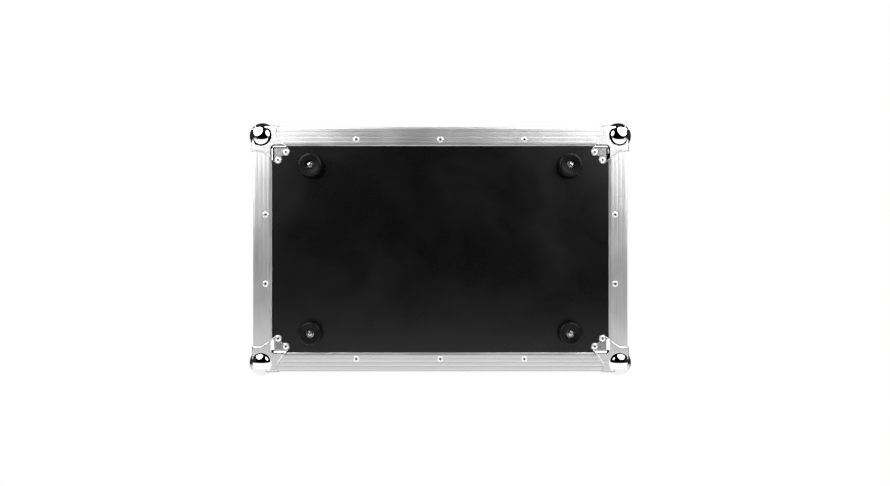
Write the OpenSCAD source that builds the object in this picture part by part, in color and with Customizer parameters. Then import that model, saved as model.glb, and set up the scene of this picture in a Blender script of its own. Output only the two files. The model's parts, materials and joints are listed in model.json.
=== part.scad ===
// Mixer flight case: a laminated-board base and a hinged lid in aluminium edging, with ball
// corners, recessed butterfly latches, a sprung carrying handle, stay hinges and foam lining.
// Millimetres. +Z is up and the feet stand on z = 0. The latches face -Y, the hinges +Y.
// The origin is the middle of the footprint.

/* [Case] */
// Width over the edge rails
case_w = 596; // [560:1:760]
// Depth over the edge rails, front to back
case_d = 389; // [320:1:520]
// Height of the base over its rails, up to the parting plane
base_h = 145; // [141:1:220]
// Height of the lid over its rails
lid_h = 100; // [96:1:160]
// Thickness of the laminated board
panel_t = 7; // [6:0.5:8]

/* [Edge rails] */
// Width of each outer leg of the edge rail
rail_leg = 30; // [28:1:32]
// Thickness of the outer legs
rail_t = 1.5; // [1.2:0.1:2]
// Radius of the rail's outer edge
rail_round = 2; // [1.6:0.1:3]
// Reach of the inner legs from the outer faces
inner_leg = 20; // [16:1:24]
// Thickness of the inner legs
inner_t = 1.2; // [1:0.1:1.6]
// Thickness of the slanted web that joins the two angles
web_t = 1.2; // [1:0.1:1.4]
// Length of the bevel at the tip of an outer leg
tip_bevel = 4; // [2:0.5:5]
// Thickness left at the tip of an outer leg
tip_t = 0.6; // [0.4:0.1:1]
// Width of one groove in the rail's face
flute_w = 1; // [0.6:0.1:1.4]
// Distance from the outer faces to the edge of a board in its slot
board_inset = 10; // [9.8:0.1:11]
// How far the rails stop short of the corner under a ball corner
rail_cutback = 16; // [14:1:18]

/* [Parting closure] */
// Height of the outer leg of a closure profile
closure_leg = 22; // [20:1:23]
// Height of the inner leg of a closure profile
closure_inner = 12; // [10:1:14]
// Depth of the lower profile's solid rim
closure_rim = 7; // [6.5:0.5:8]
// Thickness of the upper profile's web
lid_web_t = 3; // [2:0.5:4]
// Distance from the outer face to the groove
groove_start = 3; // [2.6:0.1:3.2]
// Width of the groove
groove_w = 3.9; // [3.6:0.1:4.4]
// Depth of the groove
groove_depth = 5; // [4.8:0.1:5.4]
// Clearance of the tongue on each side of its root
tongue_gap = 0.4; // [0.3:0.1:0.5]
// Height of the tongue
tongue_h = 4.6; // [4:0.1:4.7]
// How far the tongue's inner face leans in by its tip, so that the lid can swing
tongue_lean = 1; // [0.9:0.1:1.1]
// Gap between base and lid at the parting plane
parting_gap = 0.3; // [0.2:0.1:0.5]

/* [Ball corners] */
// Radius of the ball
ball_r = 20.8; // [20:0.1:21.5]
// Depth of the ball's centre inside each face
ball_inset = 13.4; // [13:0.1:14]
// Thickness of the pressed steel
corner_t = 2; // [1.6:0.1:2.2]
// Reach of a leg along the edge
corner_leg = 40; // [38:1:42]
// Width of a leg's square end
corner_leg_w = 12.7; // [11:0.1:14]
// Reach of the slanted shoulder along the edge
shoulder_reach = 49.5; // [48:0.5:50]
// Width of the pressing over the rail, where the shoulder starts
shoulder_w = 27; // [26:0.5:28]
// Distance from the rail's edge to the start of the step down to the board
step_start = 28.6; // [28.4:0.1:29]
// Length of the slope of the step
step_run = 5.6; // [5:0.1:6.4]
// Far place of a flap rivet from the corner
flap_far = 52.6; // [51:0.1:54]
// Near place of a flap rivet from the corner
flap_near = 40.1; // [39:0.1:41]
// Radius of the flap round a rivet
lobe_r = 6.2; // [5.8:0.1:6.4]
// Radius of the bent edge of a corner
corner_round = 3.5; // [3:0.5:5]

/* [Rim braces] */
// Thickness of a rim brace
brace_t = 1.5; // [1.2:0.1:1.8]
// Reach of a brace along the closure
brace_reach = 50; // [46:1:56]
// Height of that arm
brace_arm = 20; // [18:1:21]
// Height of a brace along the upright edge
brace_drop = 45; // [42:1:48]
// Width of that arm
brace_w = 28; // [26:1:29]
// Radius of a brace's free corners
brace_round = 4; // [2:0.5:6]

/* [Feet] */
// Distance of a foot's centre from the left or right rail face
foot_inset_x = 92; // [80:1:120]
// Distance of a foot's centre from the front or back rail face
foot_inset_y = 61; // [58:1:110]
// Diameter of a foot at the board
foot_d = 38; // [32:1:44]
// Height of a foot below the board
foot_h = 15; // [12:0.5:20]
// Diameter of the well for the screw
foot_well_d = 14.6; // [13:0.1:16]
// Depth of that well
foot_well = 7; // [5:0.5:9]
// Radius of the rounded rim
foot_rim_r = 2.5; // [1.5:0.1:3]
// Diameter of the foot screw
foot_screw_d = 5; // [4:0.5:6]

/* [Rivets] */
// Diameter of a rivet head
rivet_d = 9.5; // [8:0.1:9.8]
// Height of a rivet head
rivet_h = 1.3; // [1:0.1:1.6]
// Diameter of the mandrel hole in a head
mandrel_d = 2.4; // [2:0.1:3]
// Distance of the rail rivets from the rail's outer edge
rivet_line = 20; // [18:0.5:20.5]
// Spacing of the rivets on a long rail
rivet_pitch_long = 133.6; // [110:0.1:150]
// Half the spacing of the two rivets on a short rail
rivet_half_short = 55; // [40:1:70]

/* [Foam lining] */
// Thickness of the foam lining
foam_t = 20; // [18:1:24]
// Clearance between the foam and what it rests against
foam_gap = 0.3; // [0.2:0.1:0.5]

/* [Latches] */
// Distance of a latch from the middle of the case
latch_x = 150; // [140:1:170]
// Width of a dish's pocket
pocket_w = 90; // [80:1:96]
// Height of the pocket below the parting plane
pocket_drop = 60; // [60:1:62]
// Height of the keeper's pocket above the parting plane
pocket_rise = 28; // [27:1:32]
// Depth of the pockets from the rail faces
pocket_depth = 16; // [15.8:0.1:16.4]
// Thickness of the pressed dishes
dish_t = 1.2; // [1:0.1:1.3]
// Width of a dish's flange round its pocket
flange_w = 11; // [11:0.5:12]
// Radius of the corners of a pocket
pocket_round = 8; // [4:1:10]
// Throw of the hook between open and drawn down
hook_throw = 9; // [8.8:0.1:9.2]
// Distance of the spindle below the parting plane
spindle_drop = 34; // [34:0.5:35]
// Radius of the spindle's eccentric
eccentric_r = 8; // [7.6:0.1:8.2]
// Radius of the spindle's journal in the dish
journal_r = 3; // [2.6:0.1:3.2]
// Width of the hook
hook_w = 26; // [22:1:26]
// Angle that the open hook leans out
hook_lean = 9.7; // [9.5:0.1:10]
// Thickness of the hook's steel
hook_t = 1.5; // [1.3:0.1:1.6]
// Reach of one wing from the spindle's axis
wing_reach = 22; // [20:0.5:22]
// Radius of a wing's lobe
wing_lobe = 9.5; // [8.5:0.1:9.5]
// Thickness of the wings
wing_t = 2.2; // [1.8:0.1:2.2]
// Radial clearance of a pin or journal in its bore
running_gap = 0.05; // [0.03:0.01:0.08]

/* [Handle] */
// Width of the handle's pocket
grip_pocket_w = 110; // [106:1:130]
// Height of the handle's pocket
grip_pocket_h = 60; // [58:1:62]
// Diameter of the grip sleeve
grip_d = 13; // [12:0.1:13.2]
// Diameter of the bail's rod
bail_d = 8; // [7:0.5:8.5]
// Radius of the bail's bends
bail_bend = 12; // [10:1:14]
// Diameter of the pivot pins
pivot_d = 6; // [5:0.5:6.5]
// Diameter of the spring wire
spring_wire = 1.4; // [1:0.1:1.6]
// Turns of the return spring
spring_turns = 4; // [3:1:5]
// Gap between neighbouring turns of the return spring
coil_gap = 0.55; // [0.45:0.05:0.7]

/* [Hinges] */
// Distance of a hinge from the middle of the case
hinge_x = 150; // [130:1:180]
// Length of the hinge's knuckle row
hinge_l = 90; // [80:1:100]
// Height of a hinge leaf
hinge_leaf = 21; // [20:0.5:21.5]
// Thickness of a hinge leaf
leaf_t = 2; // [1.6:0.1:2]
// Radius of a knuckle
knuckle_r = 4; // [3.8:0.1:4.2]
// Radius of the hinge pin
hinge_pin_r = 2; // [1.8:0.1:2.2]
// Distance of the hinge axis behind the rail faces
hinge_out = 4.3; // [4.3:0.1:4.6]
// Angle at which the stay ears stop the lid
lid_stop = 100; // [98:1:102]

/* [Hidden] */
$fn = 64;

// How far a cutting shape runs past the face that it cuts
over = 1;
// Half the gap left in a mitre joint
mitre_gap = 0.1;
// Free space round a dish in the hole that is cut for it
cut_gap = 0.4;
// Places of the grooves across a rail's outer leg
flute_shares = [0.29, 0.523, 0.733];
// Corners of a rivet head's half section, as shares of its radius and height
rivet_shares = [[0, 0], [1, 0], [1, 0.3], [0.74, 0.8], [0.42, 1], [0, 1]];

// Heights of the rails' outer planes and of the parting plane
rail_z = foot_h - rail_t;
part_z = rail_z + base_h;
top_z = part_z + lid_h;

// Depth from a rail face to the inner face of a board
board_back = rail_t + panel_t;
inner_back = board_back + inner_t;
foam_start = inner_back + foam_gap;
foam_end = foam_start + foam_t;

// Dishes lie flush with the rail faces, in place of the outer legs
flange_y = rail_t - dish_t;
dish_half = pocket_w / 2 + flange_w;
tub_half = pocket_w / 2 + dish_t;
dish_back = pocket_depth + dish_t;

steel = [0.62, 0.63, 0.65];
alu = [0.78, 0.79, 0.81];
chrome = [0.86, 0.87, 0.89];
laminate = [0.07, 0.07, 0.08];
rubber = [0.05, 0.05, 0.05];
foam = [0.15, 0.15, 0.16];

function side_half(turn) = turn % 180 == 0 ? case_d / 2 : case_w / 2;
function side_len(turn) = turn % 180 == 0 ? case_w : case_d;

// Mirrors its children along one axis when asked to
module flip(on, axis) {
    if (on) mirror(axis) children();
    else children();
}

// Frame of one side of the case: x along the side, y inward from the rail faces, z up
module side(turn) {
    rotate([0, 0, turn]) translate([0, -side_half(turn), 0]) children();
}

// Frame of one corner of the case, with all three axes pointing into the case
module at_corner(right, back, top) {
    translate([(right ? 1 : -1) * case_w / 2, (back ? 1 : -1) * case_d / 2,
            top ? top_z : rail_z])
        flip(right, [1, 0, 0]) flip(back, [0, 1, 0]) flip(top, [0, 0, 1]) children();
}

// Frame of one upright edge at the parting plane: x and y inward, z away from the plane
module at_rim(right, back, top) {
    translate([(right ? 1 : -1) * case_w / 2, (back ? 1 : -1) * case_d / 2,
            part_z + (top ? parting_gap : 0)])
        flip(right, [1, 0, 0]) flip(back, [0, 1, 0]) flip(!top, [0, 0, 1]) children();
}

// Lays a section drawn in depth and height along the side
module along(length) {
    rotate([90, 0, 90]) linear_extrude(length, center = true) children();
}

// Flat shape drawn in x and z, thickened inward from the depth y
module plate(y, t) {
    translate([0, y + t, 0]) rotate([90, 0, 0]) linear_extrude(t) children();
}

module round_rect(w, h, r) {
    square([w - 2 * r, h], center = true);
    square([w, h - 2 * r], center = true);
    for (x = [-1, 1], y = [-1, 1]) translate([x * (w / 2 - r), y * (h / 2 - r)]) circle(r);
}

// Boards

module board(w, h) {
    translate([-w / 2, rail_t, 0]) cube([w, panel_t, h]);
}

// Hole through a board or profile for a latch dish's tub
module tub_hole(from, to) {
    half = tub_half + cut_gap;
    translate([-half, -over, from]) cube([2 * half, foam_end, to - from]);
}

module bottom_panel() {
    color(laminate) difference() {
        translate([0, 0, rail_z + rail_t + panel_t / 2])
            cube([case_w - 2 * board_inset, case_d - 2 * board_inset, panel_t], center = true);
        at_feet() cylinder(h = panel_t + over, d = foot_screw_d + 2 * running_gap);
    }
}

module lid_top_panel() {
    color(laminate) translate([0, 0, top_z - rail_t - panel_t / 2])
        cube([case_w - 2 * board_inset, case_d - 2 * board_inset, panel_t], center = true);
}

module base_side_panel(turn) {
    side(turn) translate([0, 0, rail_z + board_inset])
        board(side_len(turn) - 2 * board_inset, base_h - board_inset - closure_rim);
}

module lid_side_panel(turn) {
    bottom = part_z + parting_gap + lid_web_t;
    side(turn) translate([0, 0, bottom])
        board(side_len(turn) - 2 * board_inset, top_z - board_inset - bottom);
}

module base_front_panel() {
    color(laminate) difference() {
        base_side_panel(0);
        for (x = [-1, 1]) side(0) translate([x * latch_x, 0, part_z])
            tub_hole(-pocket_drop - dish_t - cut_gap, over);
        side(0) translate([0, 0, handle_z]) plate(-over, foam_end)
            round_rect(grip_pocket_w + 2 * (dish_t + cut_gap),
                grip_pocket_h + 2 * (dish_t + cut_gap), pocket_round + dish_t);
    }
}

module lid_front_panel() {
    color(laminate) difference() {
        lid_side_panel(0);
        for (x = [-1, 1]) side(0) translate([x * latch_x, 0, part_z])
            tub_hole(0, parting_gap + pocket_rise + dish_t + cut_gap);
    }
}

module base_back_panel() { color(laminate) base_side_panel(180); }
module base_left_panel() { color(laminate) base_side_panel(270); }
module base_right_panel() { color(laminate) base_side_panel(90); }
module lid_back_panel() { color(laminate) lid_side_panel(180); }
module lid_left_panel() { color(laminate) lid_side_panel(270); }
module lid_right_panel() { color(laminate) lid_side_panel(90); }

// Edge rails

// One outer leg along x, with a bevelled tip and fine grooves
module outer_leg() {
    difference() {
        polygon([[0, 0], [rail_leg - tip_bevel, 0], [rail_leg, rail_t - tip_t],
            [rail_leg, rail_t], [0, rail_t]]);
        for (share = flute_shares) translate([share * rail_leg, 0]) circle(d = flute_w);
    }
}

// Double angle: outer legs over the boards, short inner legs behind them, slanted web
module rail_section() {
    web = web_t / sqrt(2);
    difference() {
        union() {
            outer_leg();
            mirror([1, -1]) outer_leg();
            translate([board_back, board_back]) square([inner_leg - board_back, inner_t]);
            translate([board_back, board_back]) square([inner_t, inner_leg - board_back]);
            polygon([[rail_t - web, rail_t], [rail_t, rail_t - web],
                [board_back + web, board_back], [board_back, board_back + web]]);
        }
        difference() {
            translate([-over, -over]) square(rail_round + over);
            translate([rail_round, rail_round]) circle(rail_round);
        }
    }
}

// Keeps what lies between the two mitres of a side, cut square at the very corner
module mitred(length, cutback) {
    half = length / 2 - mitre_gap;
    deep = rail_leg + over;
    intersection() {
        along(length) children();
        linear_extrude(4 * rail_leg, center = true)
            polygon([[-half + cutback, -over], [half - cutback, -over],
                [half - cutback, cutback], [half - deep, deep],
                [-half + deep, deep], [-half + cutback, cutback]]);
    }
}

module bottom_rail(turn) {
    color(alu) translate([0, 0, rail_z]) side(turn)
        mitred(side_len(turn), rail_cutback) rail_section();
}

module lid_rail(turn) {
    color(alu) translate([0, 0, top_z]) mirror([0, 0, 1]) side(turn)
        mitred(side_len(turn), rail_cutback) rail_section();
}

module bottom_front_rail() { bottom_rail(0); }
module bottom_back_rail() { bottom_rail(180); }
module bottom_left_rail() { bottom_rail(270); }
module bottom_right_rail() { bottom_rail(90); }
module lid_front_rail() { lid_rail(0); }
module lid_back_rail() { lid_rail(180); }
module lid_left_rail() { lid_rail(270); }
module lid_right_rail() { lid_rail(90); }

// Upright double angles between the end rails and the closures
module base_corner_posts() {
    color(alu) for (right = [false, true], back = [false, true]) at_corner(right, back, false)
        translate([0, 0, rail_leg]) linear_extrude(base_h - rail_leg - closure_leg)
            rail_section();
}

module lid_corner_posts() {
    color(alu) for (right = [false, true], back = [false, true]) at_corner(right, back, true)
        translate([0, 0, rail_leg])
            linear_extrude(lid_h - parting_gap - rail_leg - closure_leg) rail_section();
}

// Parting closure: a grooved rim on the base and a tongued rim on the lid

module base_closure_section() {
    translate([0, -closure_leg]) square([rail_t, closure_leg]);
    translate([board_back, -closure_inner]) square([inner_t, closure_inner]);
    difference() {
        translate([0, -closure_rim]) square([inner_back, closure_rim]);
        translate([groove_start, -groove_depth]) square([groove_w, groove_depth + over]);
    }
}

module lid_closure_section() {
    root = groove_start + tongue_gap;
    root_w = groove_w - tongue_gap - 2 * running_gap - tongue_gap;
    translate([0, 0]) square([rail_t, closure_leg]);
    translate([board_back, 0]) square([inner_t, closure_inner]);
    square([inner_back, lid_web_t]);
    polygon([[root, 0], [root + root_w, 0], [root + root_w - tongue_lean, -tongue_h],
        [root + tongue_gap, -tongue_h]]);
}

// Openings in both closures for the latch dishes: wide for the flange, narrow for the tub
module latch_cutouts() {
    for (x = [-1, 1]) translate([x * latch_x, 0, 0]) {
        tub_hole(-2 * closure_leg, 2 * closure_leg);
        translate([-dish_half - cut_gap, -over, -2 * closure_leg])
            cube([2 * (dish_half + cut_gap), rail_t + over, 4 * closure_leg]);
    }
}

module base_closure() {
    color(alu) for (turn = [0:90:270]) translate([0, 0, part_z]) side(turn) difference() {
        mitred(side_len(turn), 0) base_closure_section();
        if (turn == 0) latch_cutouts();
    }
}

module lid_closure() {
    color(alu) for (turn = [0:90:270]) translate([0, 0, part_z + parting_gap]) side(turn)
        difference() {
            mitred(side_len(turn), 0) lid_closure_section();
            if (turn == 0) latch_cutouts();
        }
}

// Ball corners

// Depth profile of the pressing: over the rail, down the step, over the board
module step_region(lift) {
    end = flap_far + 2 * lobe_r;
    polygon([[-2 * ball_r, -lift], [step_start, -lift], [step_start + step_run, rail_t - lift],
        [end, rail_t - lift], [end, ball_r], [-2 * ball_r, ball_r]]);
}

module step_solid(lift) {
    end = flap_far + 2 * lobe_r;
    translate([0, end, 0]) rotate([90, 0, 0]) linear_extrude(end + 2 * ball_r) step_region(lift);
}

// What lies deeper than the pressing's surface, which steps down only away from both edges
module below_surface(lift) {
    step_solid(lift);
    mirror([1, -1, 0]) step_solid(lift);
}

// Outline of the pressing on one face
module corner_outline() {
    difference() {
        union() {
            polygon([[-corner_t, -corner_t], [corner_leg, -corner_t],
                [corner_leg, corner_leg_w], [shoulder_reach, shoulder_w],
                [flap_far + lobe_r, flap_near - lobe_r / 2], [flap_far + lobe_r, flap_near],
                [flap_near + lobe_r, flap_near + lobe_r],
                [flap_near, flap_far + lobe_r], [flap_near - lobe_r / 2, flap_far + lobe_r],
                [shoulder_w, shoulder_reach], [corner_leg_w, corner_leg],
                [-corner_t, corner_leg]]);
            translate([flap_far, flap_near]) circle(lobe_r);
            translate([flap_near, flap_far]) circle(lobe_r);
        }
        translate([flap_far + lobe_r / 2, flap_far + lobe_r / 2]) circle(lobe_r);
    }
}

// One face of the pressing, lying on the plane z = 0 with its outside towards -z
module corner_face() {
    difference() {
        translate([0, 0, -corner_t]) linear_extrude(corner_t + rail_t) corner_outline();
        below_surface(0);
        difference() {
            translate([-ball_r, -ball_r, -ball_r])
                cube([4 * ball_r, 4 * ball_r, ball_r + rail_t]);
            below_surface(corner_t);
        }
    }
}

// Prism with one rounded edge, from which the three bent edges are cut
module rounded_edge() {
    far = 2 * flap_far;
    linear_extrude(far + corner_t, center = false) difference() {
        translate([-corner_t, -corner_t]) square(far);
        difference() {
            translate([-corner_t - over, -corner_t - over]) square(corner_round + over);
            translate([corner_round - corner_t, corner_round - corner_t])
                circle(corner_round);
        }
    }
}

// Bent sheet on three faces round a whole ball, which takes the place of the very corner
module ball_corner() {
    keep = ball_inset - over;
    far = 2 * flap_far;
    centre = [ball_inset, ball_inset, ball_inset];
    union() {
        difference() {
            intersection() {
                union() {
                    corner_face();
                    rotate([90, 0, 90]) corner_face();
                    rotate([0, 270, 270]) corner_face();
                }
                translate([0, 0, -corner_t]) rounded_edge();
                rotate([90, 0, 90]) translate([0, 0, -corner_t]) rounded_edge();
                rotate([0, 270, 270]) translate([0, 0, -corner_t]) rounded_edge();
            }
            translate(centre) sphere(ball_r - corner_t);
            translate(centre - [ball_r, ball_r, ball_r]) cube(ball_r);
        }
        difference() {
            translate(centre) sphere(ball_r);
            translate(centre) sphere(ball_r - corner_t);
            difference() {
                cube(far);
                cube(keep);
            }
        }
    }
}

module placed_ball(right, back, top) {
    color(chrome) at_corner(right, back, top) ball_corner();
}

module bottom_ball_front_left() { placed_ball(false, false, false); }
module bottom_ball_front_right() { placed_ball(true, false, false); }
module bottom_ball_back_left() { placed_ball(false, true, false); }
module bottom_ball_back_right() { placed_ball(true, true, false); }
module lid_ball_front_left() { placed_ball(false, false, true); }
module lid_ball_front_right() { placed_ball(true, false, true); }
module lid_ball_back_left() { placed_ball(false, true, true); }
module lid_ball_back_right() { placed_ball(true, true, true); }

// Rim braces, each bent round an upright edge beside the parting plane

module brace_outline() {
    difference() {
        union() {
            translate([-brace_t, 0]) square([brace_reach + brace_t, brace_arm]);
            translate([-brace_t, 0]) square([brace_w + brace_t, brace_drop]);
            translate([brace_w, brace_arm]) square(brace_round);
        }
        translate([brace_w + brace_round, brace_arm + brace_round]) circle(brace_round);
        free_corner(brace_reach, brace_arm);
        free_corner(brace_w, brace_drop);
    }
}

// Cuts one convex corner of a flat outline to a quarter round
module free_corner(x, y) {
    translate([x - brace_round, y - brace_round]) difference() {
        square(brace_round + over);
        circle(brace_round);
    }
}

module rim_brace() {
    intersection() {
        union() {
            plate(-brace_t, brace_t) brace_outline();
            mirror([1, -1, 0]) plate(-brace_t, brace_t) brace_outline();
        }
        translate([0, 0, -over]) linear_extrude(brace_drop + 2 * over) difference() {
            translate([-brace_t, -brace_t]) square(2 * brace_reach);
            difference() {
                translate([-brace_t - over, -brace_t - over]) square(corner_round + over);
                translate([corner_round - brace_t, corner_round - brace_t])
                    circle(corner_round);
            }
        }
    }
}

module base_rim_braces() {
    color(chrome) for (right = [false, true], back = [false, true])
        at_rim(right, back, false) rim_brace();
}

module lid_rim_braces() {
    color(chrome) for (right = [false, true], back = [false, true])
        at_rim(right, back, true) rim_brace();
}

// Feet

module at_feet() {
    for (x = [-1, 1], y = [-1, 1])
        translate([x * (case_w / 2 - foot_inset_x), y * (case_d / 2 - foot_inset_y), foot_h])
            children();
}

// Half outline of a foot: slightly tapered, rounded rim, well and screw hole
module foot_section() {
    rim = foot_d / 2 - over;
    hole = foot_screw_d / 2 + running_gap;
    difference() {
        union() {
            polygon([[hole, 0], [foot_d / 2, 0], [rim, -foot_h + foot_rim_r],
                [rim - foot_rim_r, -foot_h], [hole, -foot_h]]);
            translate([rim - foot_rim_r, -foot_h + foot_rim_r]) circle(foot_rim_r);
        }
        translate([0, -foot_h - over]) square([foot_well_d / 2, foot_well + over]);
    }
}

module rubber_feet() {
    color(rubber) at_feet() rotate_extrude() foot_section();
}

// Pan-head screw on a washer at the bottom of each well
module foot_screws() {
    washer_t = foot_screw_d / 5;
    head_h = foot_screw_d / 2;
    shank = foot_h - foot_well + panel_t - over;
    color(steel) at_feet() translate([0, 0, foot_well - foot_h]) difference() {
        union() {
            translate([0, 0, -washer_t]) cylinder(h = washer_t, r = foot_screw_d * 1.2);
            translate([0, 0, -washer_t - head_h]) intersection() {
                cylinder(h = head_h, r = foot_screw_d);
                translate([0, 0, 1.3 * foot_screw_d]) sphere(1.6 * foot_screw_d);
            }
            translate([0, 0, -over]) cylinder(h = shank + over, d = foot_screw_d);
        }
        for (turn = [0, 90]) rotate([0, 0, turn])
            translate([0, 0, -washer_t - head_h])
                cube([foot_screw_d, foot_screw_d / 5, head_h], center = true);
    }
}

// Rivets

// Low domed head of a blind rivet, standing on z = 0
module rivet() {
    rotate_extrude() difference() {
        polygon([for (share = rivet_shares) [share[0] * rivet_d / 2, share[1] * rivet_h]]);
        translate([0, rivet_h / 2]) square([mandrel_d / 2, rivet_h]);
    }
}

// Places of the rail rivets along a side
function rail_rivets(turn) = turn % 180 == 0
    ? [-rivet_pitch_long, 0, rivet_pitch_long]
    : [-rivet_half_short, rivet_half_short];

// A rivet on the outside of a side, at x along it and z up, on a surface proud by lift
module side_rivet(x, z, lift) {
    translate([x, -lift, z]) rotate([90, 0, 0]) rivet();
}

// Rail rivets of one end of the case, in the frame of its outer plane
module end_rivets() {
    for (turn = [0:90:270]) side(turn) for (x = rail_rivets(turn)) {
        translate([x, rivet_line, 0]) mirror([0, 0, 1]) rivet();
        side_rivet(x, rivet_line, 0);
    }
}

module flap_rivets() {
    for (face = [0:2]) rotate(face == 0 ? [0, 0, 0] : face == 1 ? [90, 0, 90] : [0, 270, 270])
        for (swap = [false, true]) flip(swap, [1, -1, 0])
            translate([flap_far, flap_near, rail_t - corner_t]) mirror([0, 0, 1]) rivet();
}

module brace_rivets() {
    for (swap = [false, true]) flip(swap, [1, -1, 0]) {
        side_rivet(brace_reach - brace_arm / 2, brace_arm / 2, brace_t);
        side_rivet(brace_w / 2, brace_arm / 2, brace_t);
        side_rivet(brace_w / 2, brace_drop - brace_arm / 2, brace_t);
    }
}

// Rivets of the flanges of the latch dishes, at height z from the parting plane
module dish_rivets(z) {
    for (x = [-1, 1], s = [-1, 1])
        side_rivet(x * latch_x + s * (pocket_w / 2 + flange_w / 2 + dish_t / 2), z, -flange_y);
}

// Rivets of the hinge leaves, at height z from the parting plane
module leaf_rivets(z) {
    for (x = [-1, 1], s = [-1, 1]) side_rivet(x * hinge_x + s * hinge_l / 3, z, leaf_t);
}

module base_rivets() {
    color(steel) {
        translate([0, 0, rail_z]) end_rivets();
        for (right = [false, true], back = [false, true]) {
            at_corner(right, back, false) flap_rivets();
            at_rim(right, back, false) brace_rivets();
        }
        translate([0, 0, part_z]) {
            side(0) {
                dish_rivets(-pocket_drop + flange_w);
                dish_rivets(-flange_w);
            }
            side(180) leaf_rivets(-hinge_leaf / 2 - knuckle_r / 2);
        }
        side(0) for (x = [-1, 1], z = [-1, 1])
            side_rivet(x * (grip_pocket_w + flange_w + dish_t) / 2,
                handle_z + z * grip_pocket_h / 3, -flange_y);
    }
}

module lid_rivets() {
    color(steel) {
        translate([0, 0, top_z]) mirror([0, 0, 1]) end_rivets();
        for (right = [false, true], back = [false, true]) {
            at_corner(right, back, true) flap_rivets();
            at_rim(right, back, true) brace_rivets();
        }
        translate([0, 0, part_z + parting_gap]) {
            side(0) dish_rivets(pocket_rise / 2);
            side(180) leaf_rivets(hinge_leaf / 2 + knuckle_r / 2);
        }
    }
}

// Foam lining, notched where the pressed dishes reach through the front

// Depth of the notch behind a dish, past the peened end of the spindle
notch_depth = dish_back + 2 * dish_t + foam_gap;

module foam_side(turn, bottom, top) {
    length = side_len(turn) - 2 * (turn % 180 == 0 ? foam_start : foam_end + foam_gap);
    side(turn) translate([-length / 2, foam_start, bottom])
        cube([length, foam_t, top - bottom]);
}

module base_foam_floor() {
    bottom = rail_z + foam_start;
    color(foam) translate([0, 0, bottom + foam_t / 2])
        cube([case_w - 2 * foam_start, case_d - 2 * foam_start, foam_t], center = true);
}

module base_foam_side(turn) {
    foam_side(turn, rail_z + foam_end + foam_gap, part_z - foam_gap);
}

module base_foam_sides() {
    color(foam) for (turn = [90, 180, 270]) base_foam_side(turn);
}

module base_foam_front() {
    color(foam) difference() {
        base_foam_side(0);
        side(0) for (x = [-1, 1]) translate([x * latch_x - tub_half - over, 0,
                part_z - pocket_drop - dish_t - over])
            cube([2 * (tub_half + over), notch_depth, pocket_drop + dish_t + 2 * over]);
        side(0) translate([-grip_pocket_w / 2 - dish_t - over, 0,
                handle_z - grip_pocket_h / 2 - dish_t - over])
            cube([grip_pocket_w + 2 * (dish_t + over), dish_back + foam_gap,
                grip_pocket_h + 2 * (dish_t + over)]);
    }
}

module lid_foam_top() {
    color(foam) translate([0, 0, top_z - foam_start - foam_t / 2])
        cube([case_w - 2 * foam_start, case_d - 2 * foam_start, foam_t], center = true);
}

module lid_foam_sides() {
    bottom = part_z + parting_gap + foam_gap;
    top = top_z - foam_end - foam_gap;
    color(foam) difference() {
        for (turn = [0:90:270]) foam_side(turn, bottom, top);
        side(0) for (x = [-1, 1]) translate([x * latch_x - tub_half - over, 0, part_z])
            cube([2 * (tub_half + over), dish_back + foam_gap,
                parting_gap + pocket_rise + dish_t + over]);
    }
}

// Latches

// Each latch is drawn in its own frame: y inward from the rail faces, z from the parting
// plane, and at rest it stands open, with the hook raised and leaning out.

module at_latch(right) {
    side(0) translate([(right ? 1 : -1) * latch_x, 0, part_z]) children();
}

// The stack behind the front plane, from the back wall of the dish outwards
draw_t = 2.2;
draw_y = pocket_depth - parting_gap - draw_t;
collar_t = 1.5;
collar_y = draw_y - parting_gap - collar_t;
collar_r = 11;
head_y = 3.9;
head_r = 9;
wing_y = 1.3;
wing_axis_y = 7;
wing_pin_r = 1.5;
wing_knuckle_r = 2.6;
wing_knuckle_half = 4.9;
wing_neck = 3.2;
cheek_gap = 0.3;
yoke_gap = 1.2;
yoke_rim = 4;

// The hook's pivot on the draw plate, measured with the hook drawn down
hook_pin_r = 1.25;
hook_knuckle_r = 2.4;
hook_pivot_y = draw_y - parting_gap;
hook_pivot_drop = 20;

// The keeper's lip, and the gaps that the closed hook keeps to it
lip_t = 1.5;
lip_y = 7.1;
lip_foot = 2.5;
lip_top = 9;
hook_gap_front = 1;
hook_gap_back = 0.8;

// Pan of a latch dish from the parting plane down by drop: flange, walls and back
module dish_pan(drop) {
    half = pocket_w / 2;
    difference() {
        union() {
            plate(flange_y, dish_t) open_rect(dish_half, drop + flange_w, pocket_round);
            plate(flange_y, dish_back - flange_y)
                open_rect(tub_half, drop + dish_t, pocket_round);
        }
        plate(-over, pocket_depth + over) open_rect(half, drop, pocket_round - dish_t);
        translate([-half, -over, -over])
            cube([2 * half, pocket_depth + over, 2 * over]);
    }
}

// Rectangle hanging from z = 0, with its two lower corners rounded
module open_rect(half, drop, r) {
    translate([-half, -drop + r]) square([2 * half, drop - r]);
    translate([-half + r, -drop]) square([2 * (half - r), drop]);
    for (x = [-1, 1]) translate([x * (half - r), -drop + r]) circle(r);
}

// Ribs that guide the draw plate between them
guide_gap = 0.4;
guide_w = 2;
guide_h = 36;
guide_drop = 10;
draw_half = 17;

module latch_dish(right) {
    color(steel) at_latch(right) difference() {
        union() {
            dish_pan(pocket_drop);
            for (x = [-1, 1]) translate([x * (draw_half + guide_gap + guide_w / 2),
                    (draw_y + dish_back) / 2 - over, -guide_drop - guide_h / 2])
                cube([guide_w, dish_back - draw_y, guide_h], center = true);
        }
        plate(pocket_depth - over, 4 * dish_t) translate([0, -spindle_drop])
            circle(journal_r + running_gap);
    }
}

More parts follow.
